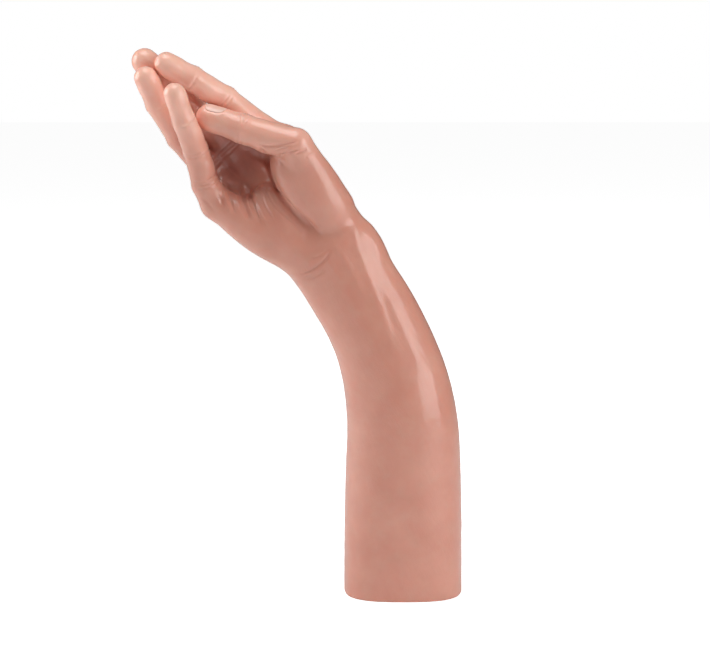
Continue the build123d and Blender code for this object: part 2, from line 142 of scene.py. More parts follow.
def smooth_min(a: Array, b: Array, width: float) -> Array:
    """Joins two distance fields with a fillet.

    Args:
        a: First distances.
        b: Second distances.
        width: Difference between the two below which they blend.

    Returns:
        Distances to the joined shape.
    """
    near = np.maximum(width - np.abs(a - b), 0.0) / width
    return np.minimum(a, b) - near**3 * width / 6.0


def smooth_max(a: Array, b: Array, width: float) -> Array:
    """Returns distances to what two shapes share, with a rounded edge."""
    return -smooth_min(-a, -b, width)


def bar(points: Array, a: Array, b: Array, ra: float, rb: float) -> Array:
    """Distance to a round-ended bar that tapers from radius ra at a to rb at b.

    Args:
        points: Places, one row each.
        a: First end.
        b: Second end.
        ra: Radius at a.
        rb: Radius at b.

    Returns:
        Signed distances, negative inside.
    """
    along = b - a
    rel = points - a
    t = np.clip(rel @ along / (along @ along), 0.0, 1.0)
    return np.linalg.norm(rel - t[:, None] * along, axis=1) - (ra + (rb - ra) * t)


def blob(points: Array, centre: Array, axes: Sequence[Array], radii: Sequence[float]) -> Array:
    """Distance to an ellipsoid.

    Args:
        points: Places, one row each.
        centre: Its centre.
        axes: Two directions: along its first and its second radius.
        radii: Its three radii.

    Returns:
        Signed distances, close to true near the surface.
    """
    first = unit(axes[0])
    second = unit(np.asarray(axes[1]) - first * (np.asarray(axes[1]) @ first))
    frame = np.stack([first, second, np.cross(first, second)], axis=1)
    local = (points - centre) @ frame
    r = np.asarray(radii, float)
    near = np.linalg.norm(local / r, axis=1)
    slope = np.linalg.norm(local / (r * r), axis=1)
    return near * (near - 1.0) / np.maximum(slope, FLAT)


def gradient(shape: Field, points: Array, step: float = 0.05) -> Array:
    """Slope of a field by central differences.

    Args:
        shape: The field.
        points: Places, one row each.
        step: Half the distance over which it is taken.

    Returns:
        The slope at each place.
    """
    result = np.empty_like(points)
    for axis in range(3):
        shift = np.zeros(3)
        shift[axis] = step
        result[:, axis] = (shape(points + shift) - shape(points - shift)) / (2.0 * step)
    return result


# ------------------------------------------------------------------ meshing a field
@dataclass
class Lattice:
    """A block of evenly spaced sample places, aligned so that all blocks share one lattice."""

    low: Sequence[float]
    high: Sequence[float]
    step: float
    coarse: int = 4           # fine samples along the side of a rough one
    reach: float = 1.8        # rough samples this near the surface, in rough steps, are taken finely

    def sample(self, shape: Field) -> tuple[Array, Array]:
        """Samples a field, finely only where its surface may pass.

        Args:
            shape: The field.

        Returns:
            The first sample's place, and the values as a three-dimensional array.
        """
        block = self.coarse * self.step
        low = np.floor(np.asarray(self.low) / block) * block
        count = np.ceil((np.asarray(self.high) - low) / block).astype(int)
        rough_axes = [low[i] + (np.arange(count[i]) + 0.5) * block for i in range(3)]
        grid = np.stack(np.meshgrid(*rough_axes, indexing="ij"), axis=-1).reshape(-1, 3)
        rough = shape(grid).reshape(count)
        values = rough
        for axis in range(3):
            values = np.repeat(values, self.coarse, axis=axis)
        near = np.abs(values) < block * self.reach
        axes = [low[i] + (np.arange(count[i] * self.coarse) + 0.5) * self.step for i in range(3)]
        index = np.argwhere(near)
        places = np.stack([axes[i][index[:, i]] for i in range(3)], axis=1)
        values = values.copy()
        values[near] = shape(places)
        return np.array([axis[0] for axis in axes]), values


def net(values: Array, first: Array, step: float) -> tuple[Array, Array]:
    """Makes a closed mesh of four-sided faces at the zero of sampled values.

    Args:
        values: Samples, negative inside.
        first: Place of the first sample.
        step: Distance between samples.

    Returns:
        Places of the vertices, and the four vertices of each face, facing outwards.
    """
    inside = values < 0
    cells = tuple(n - 1 for n in values.shape)
    corners = [(i, j, k) for i in (0, 1) for j in (0, 1) for k in (0, 1)]

    def corner(array: Array, c: tuple[int, int, int]) -> Array:
        """Returns the array's value at one corner of every cell."""
        return array[tuple(slice(o, o + n) for o, n in zip(c, cells))]

    total = sum(corner(inside, c).astype(np.int8) for c in corners)
    active = (total > 0) & (total < 8)
    number = np.full(cells, -1)
    number[active] = np.arange(int(active.sum()))
    cell = np.argwhere(active)
    place = np.zeros((len(cell), 3))
    crossings = np.zeros(len(cell))
    for axis in range(3):
        for c in corners:
            if c[axis]:
                continue
            other = tuple(1 if i == axis else o for i, o in enumerate(c))
            a, b = corner(values, c)[active], corner(values, other)[active]
            cut = (a < 0) != (b < 0)
            share = np.where(cut, a / np.where(cut, a - b, 1.0), 0.0)
            where = cell + np.array(c, float)
            where[:, axis] += share
            place[cut] += where[cut]
            crossings += cut
    place = first + step * place / crossings[:, None]
    faces = []
    for axis in range(3):
        ahead = [slice(1, -1)] * 3
        ahead[axis] = slice(0, -1)
        beyond = list(ahead)
        beyond[axis] = slice(1, None)
        a, b = inside[tuple(ahead)], inside[tuple(beyond)]
        u, v = (axis + 1) % 3, (axis + 2) % 3
        for leaving in (True, False):
            edge = np.argwhere(a & ~b if leaving else ~a & b)
            low = edge.copy()
            low[:, u] += 1
            low[:, v] += 1
            ring = []
            for du, dv in ((1, 1), (0, 1), (0, 0), (1, 0)):
                at = low.copy()
                at[:, u] -= du
                at[:, v] -= dv
                ring.append(number[at[:, 0], at[:, 1], at[:, 2]])
            faces.append(np.stack(ring if leaving else ring[::-1], axis=1))
    quads = np.concatenate(faces)
    return place, quads[(quads >= 0).all(axis=1)]


def settle(shape: Field, places: Array, quads: Array, rounds: int = 2, share: float = 0.6,
           longest: float = 1.0) -> Array:
    """Evens out a mesh's vertices and puts them on the field's zero.

    Args:
        shape: The field.
        places: Vertices.
        quads: Faces.
        rounds: How many times to even them out.
        share: Part of the way that each goes to the middle of its neighbours.
        longest: Longest step back to the surface.

    Returns:
        The vertices' new places.
    """
    a = quads.ravel()
    b = np.roll(quads, -1, axis=1).ravel()
    for turn in range(rounds + 1):
        if turn:
            total = np.zeros_like(places)
            count = np.zeros(len(places))
            for start, end in ((a, b), (b, a)):
                for i in range(3):
                    total[:, i] += np.bincount(start, places[end, i], len(places))
                count += np.bincount(start, minlength=len(places))
            places = places + share * (total / count[:, None] - places)
        for _ in range(2):
            slope = gradient(shape, places)
            size = np.maximum((slope * slope).sum(axis=1), 0.1)
            move = -shape(places)[:, None] * slope / size[:, None]
            length = np.linalg.norm(move, axis=1, keepdims=True)
            places = places + move * np.minimum(1.0, longest / np.maximum(length, TINY))
    return places


# ------------------------------------------------------------------ the forearm
@dataclass
class Forearm:
    """The forearm's shape along its bent centreline, an oval that squares up towards its foot."""

    straight: float = 96.0
    bend_radius: float = 180.0
    bend_angle: float = 32.0
    wrist_run: float = 33.0
    bend_stations: tuple[float, ...] = (0.4, 0.71)     # shares of the bend
    half_widths: tuple[float, ...] = (38.4, 38.2, 36.8, 34.2, 31.4, 30.2, 29.6)
    half_depths: tuple[float, ...] = (33.0, 32.5, 31.5, 29.5, 27.0, 24.0, 21.0)
    runs_on: tuple[float, float] = (-5.0, 25.0)        # past the first and the last station
    end_squareness: float = 0.8
    square_up_to: float = 80.0
    rim_wall: float = 2.7
    recess: float = 6.4
    recess_edges: tuple[float, float] = (0.6, 0.5)     # roundness of its roof and of its mouth
    edge: float = 2.2

    def __post_init__(self) -> None:
        """Works out the bend and the stations along it."""
        self.turn = math.radians(self.bend_angle)
        self.bend_length = self.bend_radius * self.turn
        end = self.straight + self.bend_length
        bent = [self.straight + share * self.bend_length for share in self.bend_stations]
        self.stations = np.array([0, self.straight / 2, self.straight, *bent, end, end + self.wrist_run])
        self.way = np.array([-math.sin(self.turn), 0.0, math.cos(self.turn)])
        self.across = np.array([math.cos(self.turn), 0.0, math.sin(self.turn)])
        self.bend_end = np.array([-self.bend_radius * (1 - math.cos(self.turn)), 0.0,
                                  self.straight + self.bend_radius * math.sin(self.turn)])
        self.wrist = self.bend_end + self.way * self.wrist_run

    def along(self, points: Array) -> tuple[Array, Array]:
        """Finds where points lie along and beside the centreline.

        Args:
            points: Places, one row each.

        Returns:
            The run along the centreline, and the distance from it in the bend's plane.
        """
        x, z = points[:, 0] + self.bend_radius, points[:, 2] - self.straight
        angle = np.arctan2(z, np.maximum(x, 1.0))
        rel = points - self.bend_end
        before, after = angle < 0, angle > self.turn
        run = np.where(before, points[:, 2], self.straight + self.bend_radius * angle)
        run = np.where(after, self.straight + self.bend_length + rel @ self.way, run)
        side = np.where(before, points[:, 0], np.hypot(x, z) - self.bend_radius)
        return run, np.where(after, rel @ self.across, side)

    def sizes(self, run: Array) -> tuple[Array, Array]:
        """Finds the section's size, on smooth curves through the stations.

        Args:
            run: Runs along the centreline.

        Returns:
            Half widths and half depths.
        """
        at = np.clip(run, self.runs_on[0], self.stations[-1] + self.runs_on[1])
        results = []
        for v in (np.asarray(self.half_widths), np.asarray(self.half_depths)):
            slopes = np.gradient(v, self.stations)
            i = np.clip(np.searchsorted(self.stations, at) - 1, 0, len(v) - 2)
            gap = self.stations[i + 1] - self.stations[i]
            t = (at - self.stations[i]) / gap
            curve = (v[i] * (1 + 2 * t) * (1 - t) ** 2 + v[i + 1] * t * t * (3 - 2 * t)
                     + gap * (slopes[i] * t * (1 - t) ** 2 - slopes[i + 1] * t * t * (1 - t)))
            inside = (t >= 0) & (t <= 1)
            before, after = v[i] + slopes[i] * gap * t, v[i + 1] + slopes[i + 1] * gap * (t - 1)
            results.append(np.where(inside, curve, np.where(t < 0, before, after)))
        return results[0], results[1]

    def distance(self, points: Array, inset: float = 0.0) -> Array:
        """Distance to the forearm's skin, endless both ways.

        Args:
            points: Places, one row each.
            inset: How far inside the skin the shape's surface lies.

        Returns:
            Signed distances, close to true near the surface.
        """
        run, side = self.along(points)
        wide, deep = self.sizes(run)
        wide, deep = wide - inset, deep - inset
        power = 2.0 + self.end_squareness * (1.0 - smooth_step(0.0, self.square_up_to, run))
        across, through = np.abs(side) / wide + TINY, np.abs(points[:, 1]) / deep + TINY
        near = (across**power + through**power) ** (1.0 / power)
        steep = np.hypot(across ** (power - 1) / wide, through ** (power - 1) / deep)
        slope = near ** (1.0 - power) * steep
        return (near - 1.0) / np.maximum(slope, FLAT)


# ------------------------------------------------------------------ digits
@dataclass(frozen=True)
class Bone:
    """A straight bone from one joint to the next."""

    length: float
    tilt: float               # degrees from upright, towards the fingers
    lean: float               # degrees towards the palm's side

    @property
    def way(self) -> Array:
        """The direction it points in."""
        return heading(self.tilt, self.lean)


@dataclass
class Digit:
    """A finger or the thumb: its bones, its girth, its pads and its nail."""

    name: str
    knuckle: Triple                          # from the wrist pin
    root_at: float                           # root hinge, along the first bone
    bones: tuple[Bone, ...]
    radii: tuple[float, ...]                 # at the root hinge, then each joint to the tip
    knuckle_radius: float
    back: Triple                             # the way its back faces
    nail: tuple[float, float]                # half width and length
    nail_faces: Triple
    is_thumb: bool = False
    knuckle_shift: Triple = (0.0, 0.0, 0.0)  # of the flesh, beside the bone
    seam_before_hinge: float = 6.0
    bend_after_hinge: float = 13.0
    fillets: tuple[float, ...] = (3.0, 2.5, 2.0)       # at the root, middle and outer joint
    pad_fillet: float = 2.5
    pad_join: float = 1.5
    pad_shares: tuple[tuple[float, float], ...] = ((0.30, 0.52), (0.34, 0.5))
    pad_extra: float = 3.0
    pad_sink: float = 0.24
    pad_girth: tuple[float, float] = (0.86, 0.9)
    tip_pad_at: tuple[float, float] = (0.5, 0.2)       # behind the tip and towards the palm
    tip_pad: Triple = (1.35, 0.95, 1.02)

    def place(self, wrist: Array) -> None:
        """Sets the digit's places in the frame.

        Args:
            wrist: Place of the wrist's pin.
        """
        self.start = wrist + np.array(self.knuckle)
        at = self.start
        ends = []
        for bone in self.bones:
            at = at + bone.way * bone.length
            ends.append(at)
        self.root = self.start + self.bones[0].way * self.root_at
        self.start = self.start + np.array(self.knuckle_shift)
        self.middle = ends[1] if self.is_thumb else ends[0]
        self.tip = ends[-1]
        self.outer = self.middle if self.is_thumb else ends[1]
        ways = [bone.way for bone in self.bones]
        self.root_way = ways[1] if self.is_thumb else ways[0]
        self.stub_way = ways[0]
        self.mid_way = unit(self.outer - self.middle) if not self.is_thumb else ways[2]
        self.tip_way = ways[2]
        self.seam = self.root - self.stub_way * self.seam_before_hinge
        self.second_seam = self.middle - self.root_way * self.seam_before_hinge

    def side(self, way: Array, palm: bool) -> Array:
        """Finds the way one side of a bone faces.

        Args:
            way: The bone's direction.
            palm: Whether it is the palm's side, not the back.

        Returns:
            A unit vector.
        """
        back = np.array(self.nail_faces if way is self.tip_way else self.back, float)
        back = unit(back - way * (back @ way))
        return -back if palm else back

    def stub(self, points: Array) -> Array:
        """Distance to the part inside the palm, up to the root hinge."""
        return bar(points, self.start, self.root, self.knuckle_radius, self.radii[0])

    def distance(self, points: Array) -> Array:
        """Distance to the digit's own skin, from its knuckle to its tip."""
        joints = [self.root, self.middle, self.tip]
        if not self.is_thumb:
            joints.insert(2, self.outer)
        shape = self.stub(points)
        for i, fillet in enumerate(self.fillets[:len(joints) - 1]):
            part = bar(points, joints[i], joints[i + 1], self.radii[i], self.radii[i + 1])
            shape = smooth_min(shape, part, fillet)
        return smooth_min(shape, self.pads(points), self.pad_fillet)

    def pads(self, points: Array) -> Array:
        """Distance to the soft pads on the palm side of each bone."""
        spans = [(self.root, self.middle, self.root_way), (self.middle, self.outer, self.mid_way)]
        if self.is_thumb:
            spans.pop()
        shape = np.full(len(points), FAR)
        for i, (a, b, way) in enumerate(spans):
            long, share = self.pad_shares[i]
            length = np.linalg.norm(b - a)
            girth = 0.5 * (self.radii[i] + self.radii[i + 1])
            palm = self.side(way, True)
            centre = a + (b - a) * share + palm * girth * self.pad_sink
            radii = (length * long + self.pad_extra, *(girth * part for part in self.pad_girth))
            shape = smooth_min(shape, blob(points, centre, (way, palm), radii), self.pad_join)
        tip_radius = self.radii[-1]
        palm = self.side(self.tip_way, True)
        behind, down = self.tip_pad_at
        centre = self.tip - self.tip_way * tip_radius * behind + palm * tip_radius * down
        radii = [tip_radius * part for part in self.tip_pad]
        return smooth_min(shape, blob(points, centre, (self.tip_way, palm), radii), self.pad_join)

    def past_seam(self, points: Array) -> Array:
        """Distance beyond the seam with the palm."""
        return (points - self.seam) @ self.stub_way

    def past_second_seam(self, points: Array) -> Array:
        """Distance beyond the seam between its two moving parts."""
        return (points - self.second_seam) @ self.root_way


def hidden_end(shape: Array, past: Array, reach: float = 3.0, sink: float = 0.12,
               rounding: float = 0.8) -> Array:
    """Closes a piece just beyond a seam, inside its neighbour.

    Args:
        shape: Distances to the piece.
        past: Distance beyond the seam, on the side that is to close.
        reach: How far the hidden end goes.
        sink: How fast it draws in below the neighbour's skin.
        rounding: Roundness of its rim.

    Returns:
        Distances to the closed piece.
    """
    sunk = shape + sink * np.maximum(past, 0.0) ** 2
    return smooth_max(sunk, past - reach, rounding)


# ------------------------------------------------------------------ the palm
@dataclass(frozen=True)
class Mass:
    """A rounded mass of flesh, placed by its rise, its shift to the thumb's side and its depth."""

    at: Triple
    radii: Triple
    out_lean: float = 0.0     # of its long axis, towards the thumb's side
    front_lean: float = 0.0   # of its long axis, towards the palm's side


@dataclass
class Palm:
    """The flesh between the wrist and the digits, in the hand's own directions from the wrist pin."""

    digits: Sequence[Digit]
    forearm: Forearm
    carpal_radius: float = 18.4
    carpal_rise: float = 8.0
    carpal_spread: float = 6.8
    thenar_radius: float = 12.9
    ball_spread: float = 1.5             # of the ball's low end, in carpal spreads
    web_radii: tuple[float, float] = (9.0, 10.0)
    web_from: float = 0.55               # share of the thumb's metacarpal
    between_rises: tuple[float, ...] = (-15.0, -8.0, -1.0, 5.0)   # from the fingers' root hinges
    between_radius: float = 6.0
    ray_fillet: float = 5.0
    ball_fillet: float = 6.0
    between_fillet: float = 3.0
    flesh_fillet: float = 7.0
    cup_rounding: float = 8.0
    arm_rounding: float = 14.0
    arm_fillet: float = 10.0
    seam_rise: float = -13.0
    arm_end: float = 8.0
    heel: Mass = Mass((32, -17, 1), (32, 18, 15))
    outer_edge: Mass = Mass((39, -32.5, 0), (34, 13, 14), -0.42)
    thenar: Mass = Mass((46, 11, 10), (33, 18, 16), -0.1)
    styloid: Mass = Mass((-5, 24.5, 0), (13, 6.5, 12))
    cup: Mass = Mass((70, -20, 25), (40, 15, 19), 0.08, -0.4)

    def __post_init__(self) -> None:
        """Names the hand's directions."""
        self.wrist, self.up, self.out = self.forearm.wrist, self.forearm.way, self.forearm.across
        self.front = np.array([0.0, -1.0, 0.0])

    def spot(self, up: float, out: float, front: float = 0.0) -> Array:
        """A place by its rise along the hand, its shift to the thumb's side and its depth."""
        return self.wrist + self.up * up + self.out * out + self.front * front

    def core(self, points: Array) -> Array:
        """Distance to the palm's flesh without the digits."""
        fingers = [d for d in self.digits if not d.is_thumb]
        thumb = self.digits[-1]
        shape = np.full(len(points), FAR)
        for i, digit in enumerate(fingers):
            start = self.spot(self.carpal_rise, ((len(fingers) - 1) / 2 - i) * self.carpal_spread)
            ray = bar(points, start, digit.start, self.carpal_radius, digit.knuckle_radius)
            shape = smooth_min(shape, ray, self.ray_fillet)
        low = self.spot(self.carpal_rise, self.carpal_spread * self.ball_spread)
        middle = thumb.start + (thumb.root - thumb.start) * self.web_from
        for part in (bar(points, low, thumb.start, self.carpal_radius, self.thenar_radius),
                     bar(points, thumb.start, thumb.root, self.thenar_radius, thumb.radii[0]),
                     bar(points, middle, fingers[0].start, *self.web_radii)):
            shape = smooth_min(shape, part, self.ball_fillet)
        for near, far in zip(fingers, fingers[1:]):
            for rise in self.between_rises:
                a, b = near.root + near.stub_way * rise, far.root + far.stub_way * rise
                web = bar(points, a, b, self.between_radius, self.between_radius)
                shape = smooth_min(shape, web, self.between_fillet)
        shape = smooth_min(shape, self.flesh(points), self.flesh_fillet)
        return smooth_max(shape, -self.mass(points, self.cup), self.cup_rounding)

    def mass(self, points: Array, flesh: Mass) -> Array:
        """Distance to one mass of flesh."""
        along = unit(self.up + flesh.front_lean * self.front + flesh.out_lean * self.out)
        return blob(points, self.spot(*flesh.at), (along, self.out), flesh.radii)

    def flesh(self, points: Array) -> Array:
        """Distance to the balls of the thumb and little finger, the outer edge and the wrist's bone."""
        shape = self.mass(points, self.heel)
        for flesh, fillet in ((self.outer_edge, 5.0), (self.thenar, 4.0), (self.styloid, 4.0)):
            shape = smooth_min(shape, self.mass(points, flesh), fillet)
        return shape

    def body(self, points: Array) -> Array:
        """Distance to the palm joined to the forearm."""
        above = (points - self.wrist) @ self.up
        arm = smooth_max(self.forearm.distance(points), above - self.arm_end, self.arm_rounding)
        return smooth_min(self.core(points), arm, self.arm_fillet)

    def past_seam(self, points: Array) -> Array:
        """Distance below the seam with the forearm."""
        return self.seam_rise - (points - self.wrist) @ self.up


# ------------------------------------------------------------------ relief on the glove
class Face(Enum):
    """Which side of the hand a line is drawn on."""

    PALM = -1.0
    BACK = 1.0


@dataclass(frozen=True)
class Line:
    """A crease (negative height) or a ridge on the palm or the back of the hand.

    The points are distances up the hand and out to the thumb's side from the wrist pin.
    """

    face: Face
    points: tuple[tuple[float, float], ...]
    width: float
    height: float
    taper: float = 0.22                       # share of its length over which each end fades
    turned: tuple[float, float] = (0.05, 0.45)   # it fades where the skin turns away

    def curve(self, per_span: int = 6) -> Array:
        """The line's points with smooth turns between them."""
        p = np.array(self.points, float)
        if len(p) == 2:
            return p
        ends = np.vstack([2 * p[0] - p[1], p, 2 * p[-1] - p[-2]])
        result = []
        for i in range(1, len(ends) - 2):
            a, b, c, d = ends[i - 1:i + 3]
            for t in np.linspace(0, 1, per_span, endpoint=False):
                result.append(0.5 * (2 * b + (c - a) * t + (2 * a - 5 * b + 4 * c - d) * t * t
                                     + (3 * b - a - 3 * c + d) * t**3))
        result.append(ends[-2])
        return np.array(result)

    def relief(self, flat: Array, facing: Array) -> Array:
        """Height of the line at points.

        Args:
            flat: Each point's rise and shift in the hand.
            facing: The Y part of each point's normal.

        Returns:
            Heights.
        """
        path = self.curve()
        low, high = path.min(axis=0) - 3 * self.width, path.max(axis=0) + 3 * self.width
        reach = ((flat > low) & (flat < high)).all(axis=1) & (facing * self.face.value > 0.0)
        height = np.zeros(len(flat))
        if not reach.any():
            return height
        p = flat[reach]
        best = np.full(len(p), 1e9)
        share = np.zeros(len(p))
        spans = len(path) - 1
        for i in range(spans):
            step = path[i + 1] - path[i]
            t = np.clip((p - path[i]) @ step / (step @ step), 0, 1)
            d = np.hypot(*(p - path[i] - t[:, None] * step).T)
            closer = d < best
            best[closer] = d[closer]
            share[closer] = (i + t[closer]) / spans
        taper = smooth_step(0.0, self.taper, share) * smooth_step(0.0, self.taper, 1.0 - share)
        turned = smooth_step(*self.turned, np.abs(facing[reach]))
        height[reach] = self.height * taper * turned * np.exp(-(best / self.width) ** 2)
        return height


THUMB_CREASE = ((86, -1), (80, -2), (69, -5), (57, -7), (44, -6), (29, -2), (16, 2))
PALM_LINES = (
    Line(Face.PALM, THUMB_CREASE, 1.5, -1.7),
    Line(Face.PALM, THUMB_CREASE, 0.6, -1.0),
    Line(Face.PALM, ((88, -3), (82, 5), (78, 14), (75, 24)), 1.0, -1.0),
    Line(Face.PALM, ((78, 3), (75, 17)), 0.7, -0.7),
    Line(Face.PALM, ((74, 6), (71, 20)), 0.7, -0.75),
    Line(Face.PALM, ((70, 15), (68, 24)), 0.7, -0.52),
    Line(Face.PALM, ((65, 19), (64, 27)), 0.7, -0.45),
    Line(Face.PALM, ((80, 3), (74, 4), (64, 3)), 1.6, 0.4),
    Line(Face.PALM, ((76, -40), (70, -41), (64, -42)), 0.9, -0.6),
    Line(Face.PALM, ((77, -33), (66, -36), (56, -38)), 0.9, -0.75),
    Line(Face.PALM, ((77, -36), (66, -39), (58, -40)), 1, 0.6),
    Line(Face.PALM, ((72, -29), (60, -30), (48, -32)), 0.9, -0.75),
    Line(Face.PALM, ((74, -31), (62, -33), (50, -35)), 1, 0.6),
    Line(Face.PALM, ((70, -22), (56, -25), (42, -27)), 0.9, -0.75),
    Line(Face.PALM, ((71, -25), (57, -28), (44, -29)), 1, 0.68),
    Line(Face.PALM, ((68, -16), (52, -19), (37, -19)), 0.9, -0.68),
    Line(Face.PALM, ((69, -19), (54, -22), (38, -23)), 1, 0.6),
    Line(Face.PALM, ((66, -12), (52, -14), (36, -11), (26, -8)), 0.8, -0.52),
    Line(Face.PALM, ((79, -51), (71, -49), (64, -49)), 0.9, -0.45),
    Line(Face.PALM, ((4, -26), (2, -15), (3, -6), (6, 2)), 0.9, -0.9),
    Line(Face.PALM, ((-1, -24), (-3, -14), (-2, -6)), 0.8, -0.52),
    Line(Face.PALM, ((9, -12), (7, -5), (8, 3)), 0.7, -0.38),
    Line(Face.PALM, ((24, 27), (0, 18), (-25, 12), (-53, 6), (-74, 0)), 3, 0.6),
    Line(Face.PALM, ((17, 5), (-6, 6), (-34, 4)), 2.4, 0.5),
    Line(Face.PALM, ((-30, 19), (-50, 16), (-73, 13), (-98, 9)), 3, 0.5),
    Line(Face.PALM, ((10, -4), (-10, -3), (-36, -5)), 2.4, 0.35),
)
BACK_LINES = (
    Line(Face.BACK, ((6, 4), (40, 12), (76, 11)), 2.2, 0.9),
    Line(Face.BACK, ((4, 1), (36, -6), (74, -17)), 2.2, 1.0),
    Line(Face.BACK, ((4, -3), (34, -16), (68, -38)), 2.2, 0.9),
    Line(Face.BACK, ((4, -7), (30, -24), (60, -54)), 2.0, 0.7),
    Line(Face.BACK, ((-20, 8), (4, 2), (22, 4), (40, -2), (56, 2)), 1.5, 0.55),
    Line(Face.BACK, ((20, -14), (34, -10), (48, -14), (60, -24)), 1.3, 0.5),
    Line(Face.BACK, ((22, 4), (36, 14), (54, 18)), 1.3, 0.45),
    Line(Face.BACK, ((-70, -6), (-44, 2), (-20, 8)), 1.6, 0.4),
)


@dataclass
class Relief:
    """Everything too fine for the field: creases, tendons, wrinkles, nail folds and moulded unevenness."""

    palm: Palm
    digits: Sequence[Digit]
    seed: int = 7
    wave_count: int = 14
    wave_rates: tuple[float, float] = (0.25, 1.1)      # radians per millimetre
    ripple: float = 0.05
    head: tuple[float, float] = (1.1, 7.0)             # a knuckle's rise and its reach
    knuckle_folds: Triple = (0.16, 5.5, 2.1)           # depth, reach and spacing
    root_creases: tuple[float, ...] = (2.0, 4.4, 6.6)  # along the digit from its hinge
    middle_creases: tuple[float, ...] = (-1.1, 1.3)
    outer_creases: tuple[float, ...] = (0.0,)
    crease: tuple[float, float] = (0.4, 0.9)           # depth and width
    loose_skin: tuple[float, float] = (0.35, 4.2)      # rise behind a joint, and its reach
    wrinkles: Triple = (0.2, 1.9, 0.03)                # depth, spacing and bow
    nail_groove: tuple[float, float] = (0.12, 0.5)
    nail_wall: Triple = (0.3, 1.4, 1.0)                # rise, place outside the nail, and width
    nail_bed: tuple[float, float] = (0.15, 0.4)

    def __post_init__(self) -> None:
        """Draws the waves of the moulded unevenness."""
        rng = np.random.default_rng(self.seed)
        n = self.wave_count
        ways = rng.normal(size=(n, 3))
        ways /= np.linalg.norm(ways, axis=1)[:, None]
        self.waves = ways * rng.uniform(*self.wave_rates, (n, 1))
        self.phases = rng.uniform(0, 2 * math.pi, n)

    def hand(self, points: Array, normals: Array) -> Array:
        """Relief of the forearm and palm.

        Args:
            points: Places on the skin.
            normals: The skin's normals there.

        Returns:
            Heights along the normals.
        """
        height = self.unevenness(points) + self.lines(points, normals)
        for digit in self.digits:
            if not digit.is_thumb:
                height += self.knuckle(digit, points, normals)
        return height

    def lines(self, points: Array, normals: Array) -> Array:
        """The creases, wrinkles, cords and veins drawn on the palm and the back of the hand."""
        rel = points - self.palm.wrist
        flat = np.stack([rel @ self.palm.up, rel @ self.palm.out], axis=1)
        return sum(line.relief(flat, normals[:, 1]) for line in (*PALM_LINES, *BACK_LINES))

    def unevenness(self, points: Array) -> Array:
        """Gentle waves left by the mould."""
        height = np.zeros(len(points))
        for wave, phase in zip(self.waves, self.phases):
            height += np.sin(points @ wave + phase)
        return self.ripple * height / math.sqrt(len(self.phases))

    def knuckle(self, digit: Digit, points: Array, normals: Array) -> Array:
        """The raised head of a knuckle, with loose skin over it."""
        back = digit.side(digit.stub_way, False)
        rel = points - (digit.start + digit.stub_way * 2.0)
        facing = smooth_step(0.2, 0.9, normals @ back)
        along = rel @ digit.stub_way
        around = np.linalg.norm(rel - np.outer(rel @ back, back), axis=1)
        head = self.head[0] * np.exp(-(around / self.head[1]) ** 2)
        depth, reach, spacing = self.knuckle_folds
        folds = -depth * np.exp(-(around / reach) ** 2) * (1 + np.cos(2 * math.pi * along / spacing))
        return facing * (head + folds)

    def digit(self, digit: Digit, points: Array, normals: Array) -> Array:
        """Relief of one digit: creases in front, wrinkles behind, and the fold round its nail.

        Args:
            digit: The digit.
            points: Places on its skin.
            normals: The skin's normals there.

        Returns:
            Heights along the normals.
        """
        height = self.unevenness(points)
        joints = [(digit.root, digit.root_way, self.root_creases, False),
                  (digit.middle, digit.root_way, self.middle_creases, True)]
        if digit.is_thumb:
            height += self.lines(points, normals)
        else:
            joints.append((digit.outer, digit.mid_way, self.outer_creases, True))
        for place, way, creases, folds in joints:
            rel = points - place
            along = rel @ way
            palm = digit.side(way, True)
            facing = smooth_step(-0.2, 0.6, normals @ palm)
            for offset in creases:
                height -= self.crease[0] * facing * np.exp(-((along - offset) / self.crease[1]) ** 2)
            if folds:
                height += self.wrinkled(along, rel @ np.cross(way, palm), normals @ -palm)
        return height + self.nail_fold(digit, points)

    def wrinkled(self, along: Array, aside: Array, facing: Array) -> Array:
        """Gives the loose skin behind a joint.

        Args:
            along: Distance beyond the joint, along the digit.
            aside: Distance beside it.
            facing: How far the skin faces backwards, up to 1.

        Returns:
            Heights along the normals.
        """
        rise, reach = self.loose_skin
        depth, spacing, bow = self.wrinkles
        bowed = along + bow * np.abs(aside) ** 2 * np.sign(along)
        waves = rise - depth * (1 + np.cos(2 * math.pi * bowed / spacing))
        return smooth_step(0.25, 0.85, facing) * np.exp(-(along / reach) ** 2) * waves

    def nail_fold(self, digit: Digit, points: Array) -> Array:
        """The groove and the raised skin round the nail."""
        edge = NailPlate(digit).outline(points)
        back = digit.side(digit.tip_way, False)
        over = smooth_step(0.0, 0.35, (points - digit.tip) @ back / digit.radii[-1])
        groove = -self.nail_groove[0] * np.exp(-(edge / self.nail_groove[1]) ** 2)
        rise, outside, width = self.nail_wall
        fold = rise * np.exp(-((edge - outside) / width) ** 2)
        depth, blur = self.nail_bed
        bed = -depth * (1 - smooth_step(-blur, blur, edge))
        return over * (groove + fold + bed)


